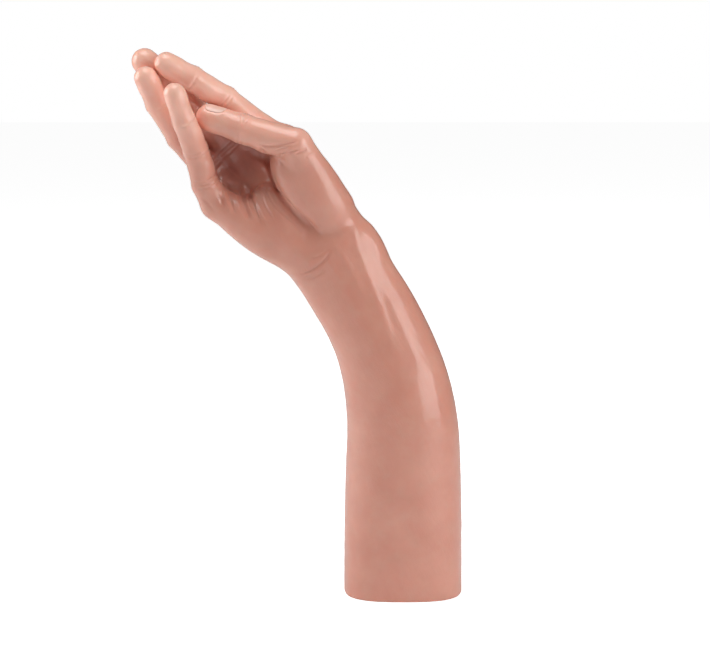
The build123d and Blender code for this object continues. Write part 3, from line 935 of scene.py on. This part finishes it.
@dataclass
class NailPlate:
    """The nail at a digit's tip, as a slim plate on its back."""

    digit: Digit
    thick: float = 0.55
    rise: float = 0.02
    past_tip: float = 0.45    # of the tip's radius
    corner: float = 0.62      # of the half width
    grow: float = 0.15        # into the fold round it
    rounding: float = 0.3

    def outline(self, points: Array) -> Array:
        """Distance in the nail's plane from its rounded outline, negative inside."""
        digit = self.digit
        half, length = digit.nail
        way, back = digit.tip_way, digit.side(digit.tip_way, False)
        across = np.cross(way, back)
        rel = points - (digit.tip + way * (digit.radii[-1] * self.past_tip - length / 2))
        u, v = rel @ way, rel @ across
        corner = half * self.corner
        a, b = np.abs(u) - (length / 2 - corner), np.abs(v) - (half - corner)
        outside = np.hypot(np.maximum(a, 0), np.maximum(b, 0))
        return outside + np.minimum(np.maximum(a, b), 0) - corner

    def distance(self, points: Array) -> Array:
        """Distance to the plate."""
        skin = self.digit.distance(points)
        slab = np.abs(skin - self.rise) - self.thick / 2
        back = self.digit.side(self.digit.tip_way, False)
        above = -(points - self.digit.tip) @ back
        shape = smooth_max(slab, self.outline(points) - self.grow, self.rounding)
        return smooth_max(shape, above, self.rounding)


# ------------------------------------------------------------------ finishes
def noise(tree: Tree, scale: float, detail: float = 3.0, rough: float = 0.5) -> bpy.types.Node:
    """Adds a noise texture on Object coordinates."""
    place = tree.nodes.get("place") or tree.nodes.new("ShaderNodeTexCoord")
    place.name = "place"
    texture = tree.nodes.new("ShaderNodeTexNoise")
    texture.inputs["Scale"].default_value = scale
    texture.inputs["Detail"].default_value = detail
    texture.inputs["Roughness"].default_value = rough
    tree.links.new(place.outputs["Object"], texture.inputs["Vector"])
    return texture


def ramp(tree: Tree, source: Socket, *stops: tuple[float, Triple]) -> Socket:
    """Adds a colour ramp on a value, with the given stops, and returns its colour."""
    node = tree.nodes.new("ShaderNodeValToRGB")
    for point, (at, colour) in zip(node.color_ramp.elements, stops):
        point.position = at
        point.color = (*colour, 1.0)
    tree.links.new(source, node.inputs["Fac"])
    return node.outputs["Color"]


def mix(tree: Tree, share: Socket | float, a: Socket, b: Socket) -> Socket:
    """Adds a colour mix and returns its result."""
    node = tree.nodes.new("ShaderNodeMix")
    node.data_type = "RGBA"
    if isinstance(share, float):
        node.inputs[0].default_value = share
    else:
        tree.links.new(share, node.inputs[0])
    tree.links.new(a, node.inputs[6])
    tree.links.new(b, node.inputs[7])
    return node.outputs[2]


def spread(tree: Tree, source: Socket, **limits: float) -> Socket:
    """Adds a map range on a value.

    Args:
        tree: The node tree.
        source: The value.
        limits: From_Min, From_Max, To_Min and To_Max, where they aren't 0 and 1.

    Returns:
        The result.
    """
    node = tree.nodes.new("ShaderNodeMapRange")
    for name, value in limits.items():
        node.inputs[name.replace("_", " ")].default_value = value
    tree.links.new(source, node.inputs["Value"])
    return node.outputs["Result"]


def vector(tree: Tree, operation: str, source: Socket, *values: Triple) -> bpy.types.Node:
    """Adds vector arithmetic on a vector and constants."""
    node = tree.nodes.new("ShaderNodeVectorMath")
    node.operation = operation
    for i, value in enumerate(values, start=1):
        node.inputs[i].default_value = value
    tree.links.new(source, node.inputs[0])
    return node


def bump(tree: Tree, height: Socket, strength: float, depth: float,
         normal: Socket | None = None) -> Socket:
    """Adds a bump and returns its normal.

    Args:
        tree: The node tree.
        height: The height.
        strength: Strength of the bump.
        depth: Its depth in metres.
        normal: The normal that it is laid on, if another bump comes first.

    Returns:
        The new normal.
    """
    node = tree.nodes.new("ShaderNodeBump")
    node.inputs["Strength"].default_value = strength
    node.inputs["Distance"].default_value = depth
    tree.links.new(height, node.inputs["Height"])
    if normal is not None:
        tree.links.new(normal, node.inputs["Normal"])
    return node.outputs["Normal"]


def scaled(colour: Triple, share: float) -> Triple:
    """Returns a colour times a share."""
    return tuple(share * c for c in colour)


@dataclass(frozen=True)
class Finish:
    """Base of every finish: a named node material."""

    name: str

    def make(self) -> bpy.types.Material:
        """Returns the material."""
        material = bpy.data.materials.new(self.name)
        material.use_nodes = True
        tree = material.node_tree
        shader = tree.nodes["Principled BSDF"]
        for name, value in self.even().items():
            shader.inputs[name].default_value = value
        for name, socket in self.patterns(tree).items():
            tree.links.new(socket, shader.inputs[name])
        return material

    def even(self) -> dict[str, float | Triple]:
        """The shader's values that are the same all over."""
        raise NotImplementedError

    def patterns(self, tree: Tree) -> dict[str, Socket]:
        """The shader's inputs that vary over the surface."""
        raise NotImplementedError


@dataclass(frozen=True)
class Skin(Finish):
    """Glossy elastomer with mottled colour under the surface, fine pores and drawn-out lines, with painted
    light on the fingers and painted shade in the hollow of the hand.
    """

    pale: Triple = (0.71, 0.350, 0.260)
    deep: Triple = (0.62, 0.270, 0.195)
    blush: Triple = (0.74, 0.305, 0.230)
    blush_share: float = 0.35
    # painted light: a paler, pinker colour laid on the fingers and thumb above a height, given in metres of
    # Z
    painted_light: Triple = (0.98, 0.56, 0.44)
    painted_light_blush: Triple = (1.0, 0.9, 0.88)
    painted_light_from: float = 0.270
    painted_light_to: float = 0.325
    # painted shade: a darker colour laid into the hollow of the hand, where shadow falls; place and reach in
    # metres
    shade: Triple = (0.38, 0.13, 0.10)
    shade_at: Triple = (-0.108, 0.004, 0.285)
    shade_reach: Triple = (0.030, 0.020, 0.028)
    shade_share: float = 0.75
    roughness: float = 0.38
    smear: float = 0.07
    pores: float = 900.0      # to the metre
    pore_warp: float = 0.0015
    streaks: float = 420.0
    streak_lean: float = -0.5
    streak_length: float = 4.0

    def even(self) -> dict[str, float | Triple]:
        """The shader's values that are the same all over."""
        return {"Coat Weight": 0.55, "Coat Roughness": 0.13, "Subsurface Weight": 0.3,
                "Subsurface Radius": (1.0, 0.35, 0.22), "Subsurface Scale": 0.0005, "IOR": 1.42}

    def patterns(self, tree: Tree) -> dict[str, Socket]:
        """The shader's inputs that vary over the surface."""
        clouds = noise(tree, 38.0, 4.0, 0.55).outputs["Fac"]
        base = ramp(tree, clouds, (0.3, self.deep), (0.7, self.pale))
        blotches = noise(tree, 120.0, 3.0, 0.6).outputs["Fac"]
        spots = ramp(tree, blotches, (0.45, self.blush), (0.75, self.pale))
        # painted light: the fingers and thumb above a height get a paler colour
        colour = self.painted_light_on_fingers(tree, mix(tree, self.blush_share, base, spots))
        smears = noise(tree, 60.0, 2.0, 0.5).outputs["Fac"]
        smooth, rough = self.roughness - self.smear, self.roughness + self.smear
        # painted shade: the base colour darkens in the hollow of the hand
        return {"Base Color": self.painted_hollow_shade(tree, colour),
                "Roughness": spread(tree, smears, To_Min=smooth, To_Max=rough),
                "Normal": self.grain(tree)}

    def painted_light_on_fingers(self, tree: Tree, colour: Socket) -> Socket:
        """Paints light onto the fingers and thumb: above a height, their colour turns paler and pinker."""
        split = tree.nodes.new("ShaderNodeSeparateXYZ")
        tree.links.new(tree.nodes["place"].outputs["Object"], split.inputs["Vector"])
        rise = spread(tree, split.outputs["Z"], From_Min=self.painted_light_from, From_Max=self.painted_light_to)
        rise.node.interpolation_type = "SMOOTHSTEP"
        pinker = tuple(c * k for c, k in zip(self.painted_light, self.painted_light_blush))
        painted_light = ramp(tree, noise(tree, 90.0, 3.0).outputs["Fac"], (0.35, pinker), (0.65, self.painted_light))
        return mix(tree, rise, colour, painted_light)

    def painted_hollow_shade(self, tree: Tree, colour: Socket) -> Socket:
        """Paints shade into the hollow of the hand: the colour darkens towards its centre."""
        away = vector(tree, "SUBTRACT", tree.nodes["place"].outputs["Object"], self.shade_at)
        share = vector(tree, "DIVIDE", away.outputs["Vector"], self.shade_reach)
        size = vector(tree, "LENGTH", share.outputs["Vector"])
        fade = spread(tree, size.outputs["Value"], From_Min=0.35, To_Min=self.shade_share, To_Max=0.0)
        fade.node.interpolation_type = "SMOOTHSTEP"
        clouds = noise(tree, 200.0, 2.0).outputs["Fac"]
        dark = ramp(tree, clouds, (0.3, self.shade), (0.7, scaled(self.shade, 1.15)))
        return mix(tree, fade, colour, dark)

    def grain(self, tree: Tree) -> Socket:
        """Adds the pores, a soft swell and the fine drawn-out lines, and returns the normal."""
        place = tree.nodes["place"].outputs["Object"]
        cells = tree.nodes.new("ShaderNodeTexVoronoi")
        cells.feature = "DISTANCE_TO_EDGE"
        cells.inputs["Scale"].default_value = self.pores
        warp = noise(tree, 260.0, 2.0).outputs["Color"]
        shift = vector(tree, "MULTIPLY_ADD", warp, (self.pore_warp,) * 3)
        tree.links.new(place, shift.inputs[2])
        tree.links.new(shift.outputs["Vector"], cells.inputs["Vector"])
        normal = bump(tree, cells.outputs["Distance"], 0.22, 0.0003)
        normal = bump(tree, noise(tree, 150.0, 3.0, 0.55).outputs["Fac"], 0.22, 0.0008, normal)
        turn = tree.nodes.new("ShaderNodeMapping")
        turn.vector_type = "TEXTURE"
        turn.inputs["Rotation"].default_value = (0.0, self.streak_lean, 0.0)
        turn.inputs["Scale"].default_value = (1.0, 1.0, self.streak_length)
        tree.links.new(place, turn.inputs["Vector"])
        lines = noise(tree, self.streaks, 4.0, 0.6)
        tree.links.new(turn.outputs["Vector"], lines.inputs["Vector"])
        return bump(tree, lines.outputs["Fac"], 0.3, 0.0005, normal)


@dataclass(frozen=True)
class Nail(Finish):
    """The same elastomer, paler and without pores; its paleness is partly its own and partly painted light,
    matched to the painted light on the fingertips.
    """

    colour: Triple = (0.94, 0.57, 0.47)

    def even(self) -> dict[str, float | Triple]:
        """The shader's values that are the same all over."""
        return {"Roughness": 0.32, "Coat Weight": 0.2, "Coat Roughness": 0.2, "Subsurface Weight": 0.15,
                "Subsurface Radius": (1.0, 0.4, 0.25), "Subsurface Scale": 0.003}

    def patterns(self, tree: Tree) -> dict[str, Socket]:
        """The shader's inputs that vary over the surface."""
        clouds = noise(tree, 160.0, 2.0).outputs["Fac"]
        return {"Base Color": ramp(tree, clouds, (0.3, scaled(self.colour, 0.9)), (0.7, self.colour))}


@dataclass(frozen=True)
class Metal(Finish):
    """Machined metal with fine scratches and a little uneven polish."""

    colour: Triple = (0.55, 0.56, 0.58)
    roughness: float = 0.32

    def even(self) -> dict[str, float | Triple]:
        """The shader's values that are the same all over."""
        return {"Metallic": 1.0}

    def patterns(self, tree: Tree) -> dict[str, Socket]:
        """The shader's inputs that vary over the surface."""
        clouds = noise(tree, 90.0, 4.0, 0.6).outputs["Fac"]
        base = ramp(tree, clouds, (0.35, scaled(self.colour, 0.82)), (0.65, self.colour))
        marks = noise(tree, 700.0, 2.0, 0.7).outputs["Fac"]
        gloss = spread(tree, marks, To_Min=self.roughness - 0.08, To_Max=self.roughness + 0.12)
        return {"Base Color": base, "Roughness": gloss, "Normal": bump(tree, marks, 0.08, 0.0002)}


@dataclass(frozen=True)
class Dull(Finish):
    """Foam or moulded plastic: matte, with an open or a fine grain."""

    colour: Triple = (0.86, 0.80, 0.66)
    grain: float = 500.0

    def even(self) -> dict[str, float | Triple]:
        """The shader's values that are the same all over."""
        return {"Roughness": 0.75}

    def patterns(self, tree: Tree) -> dict[str, Socket]:
        """The shader's inputs that vary over the surface."""
        clouds = noise(tree, self.grain, 3.0, 0.6).outputs["Fac"]
        base = ramp(tree, clouds, (0.35, scaled(self.colour, 0.8)), (0.65, self.colour))
        return {"Base Color": base, "Normal": bump(tree, clouds, 0.3, 0.0003)}


# ------------------------------------------------------------------ the glove's pieces
def make_piece(name: str, places: Array, quads: Array, material: bpy.types.Material) -> bpy.types.Object:
    """Makes a smooth-shaded object of a mesh given in millimetres."""
    mesh = bpy.data.meshes.new(name)
    mesh.from_pydata((places * MM).tolist(), [], quads.tolist())
    mesh.polygons.foreach_set("use_smooth", np.ones(len(mesh.polygons), bool))
    mesh.materials.append(material)
    mesh.update()
    piece = bpy.data.objects.new(name, mesh)
    bpy.context.scene.collection.objects.link(piece)
    return piece


@dataclass
class Glove:
    """The whole skin: forearm, palm and digits, piece by piece."""

    forearm: Forearm
    palm: Palm
    digits: Sequence[Digit]
    relief: Relief
    skin: bpy.types.Material
    nail: bpy.types.Material
    forearm_step: float = 1.3
    palm_step: float = 0.66
    digit_step: float = 0.5
    nail_step: float = 0.3
    web_fillet: float = 5.0
    thumb_fillet: float = 3.5
    between_digits: float = 1.4
    palm_near: float = 2.0               # beyond a digit's skin, its piece leaves the palm out
    forearm_box: tuple[Triple, Triple] = ((-90.0, -45.0, -4.0), (48.0, 45.0, 20.0))   # top: from the wrist
    palm_box: tuple[Triple, Triple] = ((-150.0, -50.0, -40.0), (8.0, 45.0, 340.0))    # foot: likewise
    digit_margin: float = 14.0
    nail_margin: float = 4.0
    forearm_twist: tuple[float, float] = (-80.0, -17.0)     # along the wrist's axis
    palm_bend: tuple[float, float] = (-9.0, 16.0)
    bend_from_seam: float = 3.0
    second_bend: float = 0.7             # of the first
    relief_fade: tuple[float, float] = (-4.0, 6.0)

    def forearm_field(self, points: Array) -> Array:
        """The forearm's skin, closed at its top and hollowed at its foot for the end plate."""
        arm = self.forearm
        shape = hidden_end(self.palm.body(points), -self.palm.past_seam(points))
        shape = smooth_max(shape, -points[:, 2], arm.edge)
        roof, mouth = arm.recess_edges
        hollow = smooth_max(arm.distance(points, arm.rim_wall), points[:, 2] - arm.recess, roof)
        return smooth_max(shape, -hollow, mouth)

    def palm_field(self, points: Array) -> Array:
        """The palm with each digit's stub, closed at every seam."""
        stubs = [hidden_end(d.distance(points), d.past_seam(points)) for d in self.digits]
        fingers = stubs[0]
        for stub in stubs[1:-1]:
            fingers = smooth_min(fingers, stub, self.between_digits)
        shape = smooth_min(self.palm.body(points), fingers, self.web_fillet)
        shape = smooth_min(shape, stubs[-1], self.thumb_fillet)
        return hidden_end(shape, self.palm.past_seam(points))

    def digit_field(self, digit: Digit, points: Array) -> Array:
        """One digit from just inside the palm to its tip."""
        own = digit.distance(points)
        core = self.palm.body(points) + np.maximum(own - self.palm_near, 0.0) ** 2
        shape = smooth_min(core, own, self.thumb_fillet if digit.is_thumb else self.web_fillet)
        return hidden_end(shape, -digit.past_seam(points))

    def mesh(self, name: str, shape: Field, low: Array, high: Array, step: float,
             relief: Relieve | None = None) -> bpy.types.Object:
        """Meshes a field and adds its relief.

        Args:
            name: The piece's name.
            shape: Its field.
            low: Lowest corner to mesh from.
            high: Highest corner to mesh to.
            step: Distance between samples.
            relief: Heights along the normals, or None.

        Returns:
            The new object.
        """
        first, values = Lattice(low, high, step).sample(shape)
        places, quads = net(values, first, step)
        places = settle(shape, places, quads)
        if relief is not None:
            slope = gradient(shape, places)
            normals = slope / np.linalg.norm(slope, axis=1)[:, None]
            places = places + normals * relief(places, normals)[:, None]
        LOG.info("%s: %d faces", name, len(quads))
        return make_piece(name, places, quads, self.skin)

    def forearm_piece(self) -> bpy.types.Object:
        """The forearm's skin, which takes the place of the frame's forearm skin and core."""
        low, high = np.array(self.forearm_box)
        high[2] += self.forearm.wrist[2]
        piece = self.mesh("forearm_glove", self.forearm_field, low, high, self.forearm_step,
                          self.relief.hand)
        start, end = (self.along_wrist(rise) for rise in self.forearm_twist)
        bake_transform(piece)
        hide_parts("forearm_skin", "forearm_core")
        return piece

    def along_wrist(self, rise: float) -> Triple:
        """A place on the wrist's axis in metres."""
        return tuple(self.palm.spot(rise, 0.0) * MM)

    def palm_piece(self) -> bpy.types.Object:
        """The palm's skin, which takes the place of the frame's wrist and palm skins and cores."""
        low, high = np.array(self.palm_box)
        low[2] += self.forearm.wrist[2]
        piece = self.mesh("palm_glove", self.palm_field, low, high, self.palm_step, self.relief.hand)
        start, end = (self.along_wrist(rise) for rise in self.palm_bend)
        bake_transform(piece)
        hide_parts("wrist_skin", "wrist_core", "palm_skin", "palm_core")
        return piece

    def digit_pieces(self, digit: Digit) -> list[bpy.types.Object]:
        """The two skins of a digit and its nail."""
        line = np.array([digit.seam, digit.root, digit.middle, digit.outer, digit.tip])
        low, high = line.min(axis=0) - self.digit_margin, line.max(axis=0) + self.digit_margin

        def near(points: Array) -> Array:
            """The part between the palm and the middle hinge."""
            return hidden_end(self.digit_field(digit, points), digit.past_second_seam(points))

        def far(points: Array) -> Array:
            """The part from the middle hinge to the tip."""
            return hidden_end(self.digit_field(digit, points), -digit.past_second_seam(points))

        def relief(points: Array, normals: Array) -> Array:
            """The digit's own relief, fading in from the palm's."""
            share = smooth_step(*self.relief_fade, digit.past_seam(points))
            return ((1 - share) * self.relief.hand(points, normals)
                    + share * self.relief.digit(digit, points, normals))

        name = digit.name
        first = self.mesh(f"{name}_proximal_glove", near, low, high, self.digit_step, relief)
        second = self.mesh(f"{name}_distal_glove", far, low, high, self.digit_step, relief)
        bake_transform(first)
        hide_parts(f"{name}_proximal_skin")
        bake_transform(second)
        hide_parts(f"{name}_distal_skin")
        return [first, second, self.nail_piece(digit)]

    def nail_piece(self, digit: Digit) -> bpy.types.Object:
        """The digit's nail."""
        reach = np.full(3, digit.nail[1] + self.nail_margin)
        name = digit.name
        nail = self.mesh(f"{name}_nail_plate", NailPlate(digit).distance, digit.tip - reach,
                         digit.tip + reach, self.nail_step)
        nail.data.materials[0] = self.nail
        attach(nail, f"{name}_distal")
        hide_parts(f"{name}_nail")
        return nail

    def make(self) -> None:
        """Builds every piece."""
        for piece in (self.forearm_piece(), self.palm_piece()):
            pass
        for digit in self.digits:
            self.digit_pieces(digit)


# ------------------------------------------------------------------ screws in the end plate
@dataclass
class EndScrews:
    """The socket-head screws in the end plate, their heads flush below."""

    circle: float = 21.0
    count: int = 4
    first_at: float = 45.0
    shank: float = 2.5
    head: float = 4.5
    head_high: float = 3.0
    length: float = 11.0
    key: float = 4.0          # hexagon across its flats
    key_deep: float = 1.8
    chamfer: float = 0.4
    sides: int = 48

    def ring(self, height: float, radius: float, hexagon: bool = False) -> list[Triple]:
        """One ring of a screw's vertices.

        Args:
            height: Its Z.
            radius: Its radius, or half the width across the flats of a hexagon.
            hexagon: Whether it follows a hexagon.

        Returns:
            The vertices.
        """
        places = []
        for i in range(self.sides):
            angle = 2 * math.pi * i / self.sides
            from_flat = (angle + math.pi / 6) % (math.pi / 3) - math.pi / 6
            r = radius / math.cos(from_flat) if hexagon else radius
            places.append((r * math.cos(angle), r * math.sin(angle), height))
        return places

    def one(self) -> bpy.types.Mesh:
        """Makes the mesh of one screw, its head at Z 0."""
        c = self.chamfer
        rings = [self.ring(self.length, self.shank - c), self.ring(self.length - c, self.shank),
                 self.ring(self.head_high, self.shank), self.ring(self.head_high, self.head - c),
                 self.ring(self.head_high - c, self.head), self.ring(c, self.head),
                 self.ring(0.0, self.head - c), self.ring(0.0, self.key / 2, True),
                 self.ring(self.key_deep, self.key / 2, True)]
        places = np.array([place for ring in rings for place in ring]) * MM
        n = self.sides
        faces = [list(range(n)), list(range((len(rings) - 1) * n, len(rings) * n))[::-1]]
        for k in range(len(rings) - 1):
            for i in range(n):
                j = (i + 1) % n
                faces.append([k * n + j, k * n + i, (k + 1) * n + i, (k + 1) * n + j])
        mesh = bpy.data.meshes.new("end_screw")
        mesh.from_pydata(places.tolist(), [], faces)
        return mesh

    def tree(self) -> tuple[Tree, dict[str, str]]:
        """Builds the nodes that set screws round a circle.

        Returns:
            The tree, and the identifier of each of its inputs by name.
        """
        tree = bpy.data.node_groups.new("screw_circle", "GeometryNodeTree")
        sockets = tree.interface.new_socket
        sockets("Screw", in_out="INPUT", socket_type="NodeSocketGeometry")
        kinds = {"Circle Radius": "NodeSocketFloat", "Count": "NodeSocketInt", "First At": "NodeSocketFloat",
                 "Finish": "NodeSocketMaterial"}
        names = {name: sockets(name, in_out="INPUT", socket_type=kind).identifier
                 for name, kind in kinds.items()}
        sockets("Screws", in_out="OUTPUT", socket_type="NodeSocketGeometry")
        given = tree.nodes.new("NodeGroupInput")
        circle = tree.nodes.new("GeometryNodeMeshCircle")
        turn = tree.nodes.new("ShaderNodeCombineXYZ")
        place = tree.nodes.new("GeometryNodeTransform")
        copies = tree.nodes.new("GeometryNodeInstanceOnPoints")
        real = tree.nodes.new("GeometryNodeRealizeInstances")
        dress = tree.nodes.new("GeometryNodeSetMaterial")
        result = tree.nodes.new("NodeGroupOutput")
        for source, target in (
            (given.outputs["Circle Radius"], circle.inputs["Radius"]),
            (given.outputs["Count"], circle.inputs["Vertices"]),
            (given.outputs["First At"], turn.inputs["Z"]),
            (circle.outputs["Mesh"], place.inputs["Geometry"]),
            (turn.outputs["Vector"], place.inputs["Rotation"]),
            (place.outputs["Geometry"], copies.inputs["Points"]),
            (given.outputs["Screw"], copies.inputs["Instance"]),
            (copies.outputs["Instances"], real.inputs["Geometry"]),
            (real.outputs["Geometry"], dress.inputs["Geometry"]),
            (given.outputs["Finish"], dress.inputs["Material"]),
            (dress.outputs["Geometry"], result.inputs["Screws"]),
        ):
            tree.links.new(source, target)
        return tree, names

    def make(self, material: bpy.types.Material) -> bpy.types.Object:
        """Makes the screws as one piece."""
        screws = bpy.data.objects.new("end_screws_detailed", self.one())
        bpy.context.scene.collection.objects.link(screws)
        tree, names = self.tree()
        modifier = screws.modifiers.new("circle", "NODES")
        modifier.node_group = tree
        modifier[names["Circle Radius"]] = self.circle * MM
        modifier[names["Count"]] = self.count
        modifier[names["First At"]] = math.radians(self.first_at)
        modifier[names["Finish"]] = material
        graph = bpy.context.evaluated_depsgraph_get()
        mesh = bpy.data.meshes.new_from_object(screws.evaluated_get(graph))
        screws.modifiers.clear()
        screws.data = mesh
        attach(screws, "forearm")
        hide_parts("end_plate_screws")
        LOG.info("end screws: %d faces", len(mesh.polygons))
        return screws


# ------------------------------------------------------------------ the studio
@dataclass(frozen=True)
class Softbox:
    """A square area light, placed from the object's centre."""

    name: str
    offset: Triple
    size: float
    power: float


@dataclass
class Studio:
    """Pale floor, white room, soft lights and the camera."""

    aim_right: float = 0.0353
    aim_rise: float = -0.002
    elevation: float = 8.0
    distance: float = 1.30
    lens: float = 102.2
    floor_half: float = 8.0
    glow_near: float = 0.77
    glow_far: float = 0.92
    glow_reach: float = 2.0
    glow_unseen: float = 0.08
    floor_grey: float = 0.9
    floor_roughness: float = 0.8
    seen_white: float = 1.0
    room_light: float = 0.055
    sensor: float = 36.0
    boxes: tuple[Softbox, ...] = (
        Softbox("right_box", (1.35, -0.75, 0.45), 1.1, 14.0),
        Softbox("left_box", (-1.3, 0.1, 0.45), 1.0, 13.0),
        Softbox("front_box", (0.25, -1.5, 1.1), 0.4, 0.8),
        Softbox("top_box", (-0.15, -0.25, 1.5), 1.0, 13.0),
    )

    def build(self, low: Vector, high: Vector) -> None:
        """Makes the floor, the lights and the camera round the object's box.

        Args:
            low: Lowest corner of the object.
            high: Highest corner of the object.
        """
        bpy.context.scene.view_settings.view_transform = "Standard"
        centre = (low + high) / 2
        self.floor(low.z)
        for box in self.boxes:
            self.light(box, centre)
        self.room()
        self.camera(centre)

    def light(self, box: Softbox, centre: Vector) -> None:
        """Makes one softbox that faces the object."""
        data = bpy.data.lights.new(box.name, "AREA")
        data.shape, data.size, data.energy = "SQUARE", box.size, box.power
        lamp = bpy.data.objects.new(box.name, data)
        lamp.location = centre + Vector(box.offset)
        lamp.rotation_euler = (centre - lamp.location).to_track_quat("-Z", "Y").to_euler()
        bpy.context.scene.collection.objects.link(lamp)

    def room(self) -> None:
        """Makes the white room, which is seen brighter than it lights the object."""
        world = bpy.data.worlds.new("white_room")
        world.use_nodes = True
        tree = world.node_tree
        background = tree.nodes["Background"]
        background.inputs["Color"].default_value = (1.0, 1.0, 1.0, 1.0)
        path = tree.nodes.new("ShaderNodeLightPath")
        strength = spread(tree, path.outputs["Is Camera Ray"], To_Min=self.room_light,
                          To_Max=self.seen_white)
        tree.links.new(strength, background.inputs["Strength"])
        bpy.context.scene.world = world

    def floor(self, height: float) -> None:
        """Makes the pale floor."""
        mesh = bpy.data.meshes.new("floor")
        h = self.floor_half
        corners = [(x * h, y * h, height) for x, y in ((-1, -1), (1, -1), (1, 1), (-1, 1))]
        mesh.from_pydata(corners, [], [(0, 1, 2, 3)])
        material = bpy.data.materials.new("pale_floor")
        material.use_nodes = True
        shader = material.node_tree.nodes["Principled BSDF"]
        shader.inputs["Base Color"].default_value = (*[self.floor_grey] * 3, 1.0)
        shader.inputs["Roughness"].default_value = self.floor_roughness
        shader.inputs["Emission Color"].default_value = (1.0, 1.0, 1.0, 1.0)
        self.even_out(material.node_tree, shader)
        mesh.materials.append(material)
        floor = bpy.data.objects.new("floor", mesh)
        bpy.context.scene.collection.objects.link(floor)
        floor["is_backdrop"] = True

    def even_out(self, tree: Tree, shader: bpy.types.Node) -> None:
        """Makes the floor look evenly white, and throw little light on the object."""
        place = tree.nodes.new("ShaderNodeTexCoord")
        far = vector(tree, "LENGTH", place.outputs["Object"]).outputs["Value"]
        glow = spread(tree, far, From_Max=self.glow_reach, To_Min=self.glow_near, To_Max=self.glow_far)
        seen = tree.nodes.new("ShaderNodeLightPath")
        pick = tree.nodes.new("ShaderNodeMix")
        pick.inputs["A"].default_value = self.glow_unseen
        tree.links.new(seen.outputs["Is Camera Ray"], pick.inputs["Factor"])
        tree.links.new(glow, pick.inputs["B"])
        tree.links.new(pick.outputs["Result"], shader.inputs["Emission Strength"])

    def camera(self, centre: Vector) -> None:
        """Makes the camera, in front of the palm and a little above."""
        data = bpy.data.cameras.new("camera")
        data.lens = self.lens
        data.sensor_width = self.sensor
        camera = bpy.data.objects.new("camera", data)
        aim = Vector((centre.x + self.aim_right, 0.0, centre.z + self.aim_rise))
        tilt = math.radians(self.elevation)
        camera.location = aim + Vector((0.0, -math.cos(tilt), math.sin(tilt))) * self.distance
        camera.rotation_euler = (math.radians(90.0 - self.elevation), 0.0, 0.0)
        bpy.context.scene.collection.objects.link(camera)
        bpy.context.scene.camera = camera


# ------------------------------------------------------------------ the hand's sizes
def make_digits() -> list[Digit]:
    """Returns the five digits, the thumb last."""
    return [
        Digit("index", (-32, 12, 70.5), 18, (Bone(49, 50.5, 14), Bone(25, 58, 16), Bone(19, 60, 11)),
              (8.6, 7.9, 8.0, 7.3), 12.6, (0.45, 0.7, 0.54), (5.6, 12.0), (0.3, 0.9, 0.3)),
        Digit("middle", (-54, 20, 55), 17, (Bone(47, 43.5, 10), Bone(30, 42, 14), Bone(21, 45, 16)),
              (9.6, 9.0, 8.6, 8.2), 13.0, (0, 1, 0), (5.8, 12.5), (0, 1, 0)),
        Digit("ring", (-70, 17.5, 41), 17, (Bone(47, 39, 15), Bone(27, 29.5, 24), Bone(19.5, 23.5, 22)),
              (8.7, 8.3, 8.0, 7.0), 11.6, (-0.65, 0.6, -0.54), (5.4, 11.5), (-0.5, 0.8, -0.2), False,
              (3.5, 0.0, 1.0)),
        Digit("little", (-78.5, 2, 33), 15, (Bone(40, 13, 23), Bone(22, 19, 26), Bone(19, 17, 17)),
              (8.6, 8.0, 7.4, 6.4), 10.4, (-0.49, 0.85, -0.11), (4.7, 9.8), (-0.6, 0.8, 0), False,
              (4.0, 0.0, 1.0)),
        Digit("thumb", (-1, -6, 32), 49, (Bone(49, 29.5, 17.4), Bone(34, 73.8, -8.3), Bone(24, 71, -10)),
              (10.1, 9.4, 8.0), 12.9, (0.25, -0.3, 0.9), (6.4, 13.0), (0.28, -0.12, 0.95), True),
    ]


def dress_frame(nodes: dict[str, bpy.types.Object], slots: dict[str, str]) -> dict[str, bpy.types.Material]:
    """Gives each CAD node the finish of its material slot.

    Args:
        nodes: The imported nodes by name.
        slots: Material slot of each node.

    Returns:
        The finishes by slot.
    """
    finishes = {
        "skin": Skin("inner_skin").make(),
        "nail": Nail("inner_nail").make(),
        "foam": Dull("foam").make(),
        "steel": Metal("machined_steel").make(),
        "aluminium": Metal("anodised_aluminium", (0.74, 0.75, 0.77), 0.38).make(),
        "fasteners": Metal("screw_steel", (0.40, 0.41, 0.43), 0.3).make(),
        "plastic": Dull("moulded_plastic", (0.16, 0.16, 0.17), 900.0).make(),
    }
    for name, node in nodes.items():
        node.data.materials.clear()
        node.data.materials.append(finishes[slots[name]])
    return finishes


def main() -> None:
    """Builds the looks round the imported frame."""
    logging.basicConfig(level=logging.INFO, format="%(name)s: %(message)s")
    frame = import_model()
    low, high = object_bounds()
    record = frame["record"]
    finishes = dress_frame(frame["nodes"], {row["node"]: row["material_slot"] for row in record["subparts"]})
    forearm = Forearm()
    digits = make_digits()
    for digit in digits:
        digit.place(forearm.wrist)
    palm = Palm(digits, forearm)
    relief = Relief(palm, digits)
    Glove(forearm, palm, digits, relief, Skin("glove_skin").make(), Nail("glove_nail").make()).make()
    EndScrews().make(finishes["fasteners"])
    Studio().build(low, high)


if __name__ == "__main__":
    main()
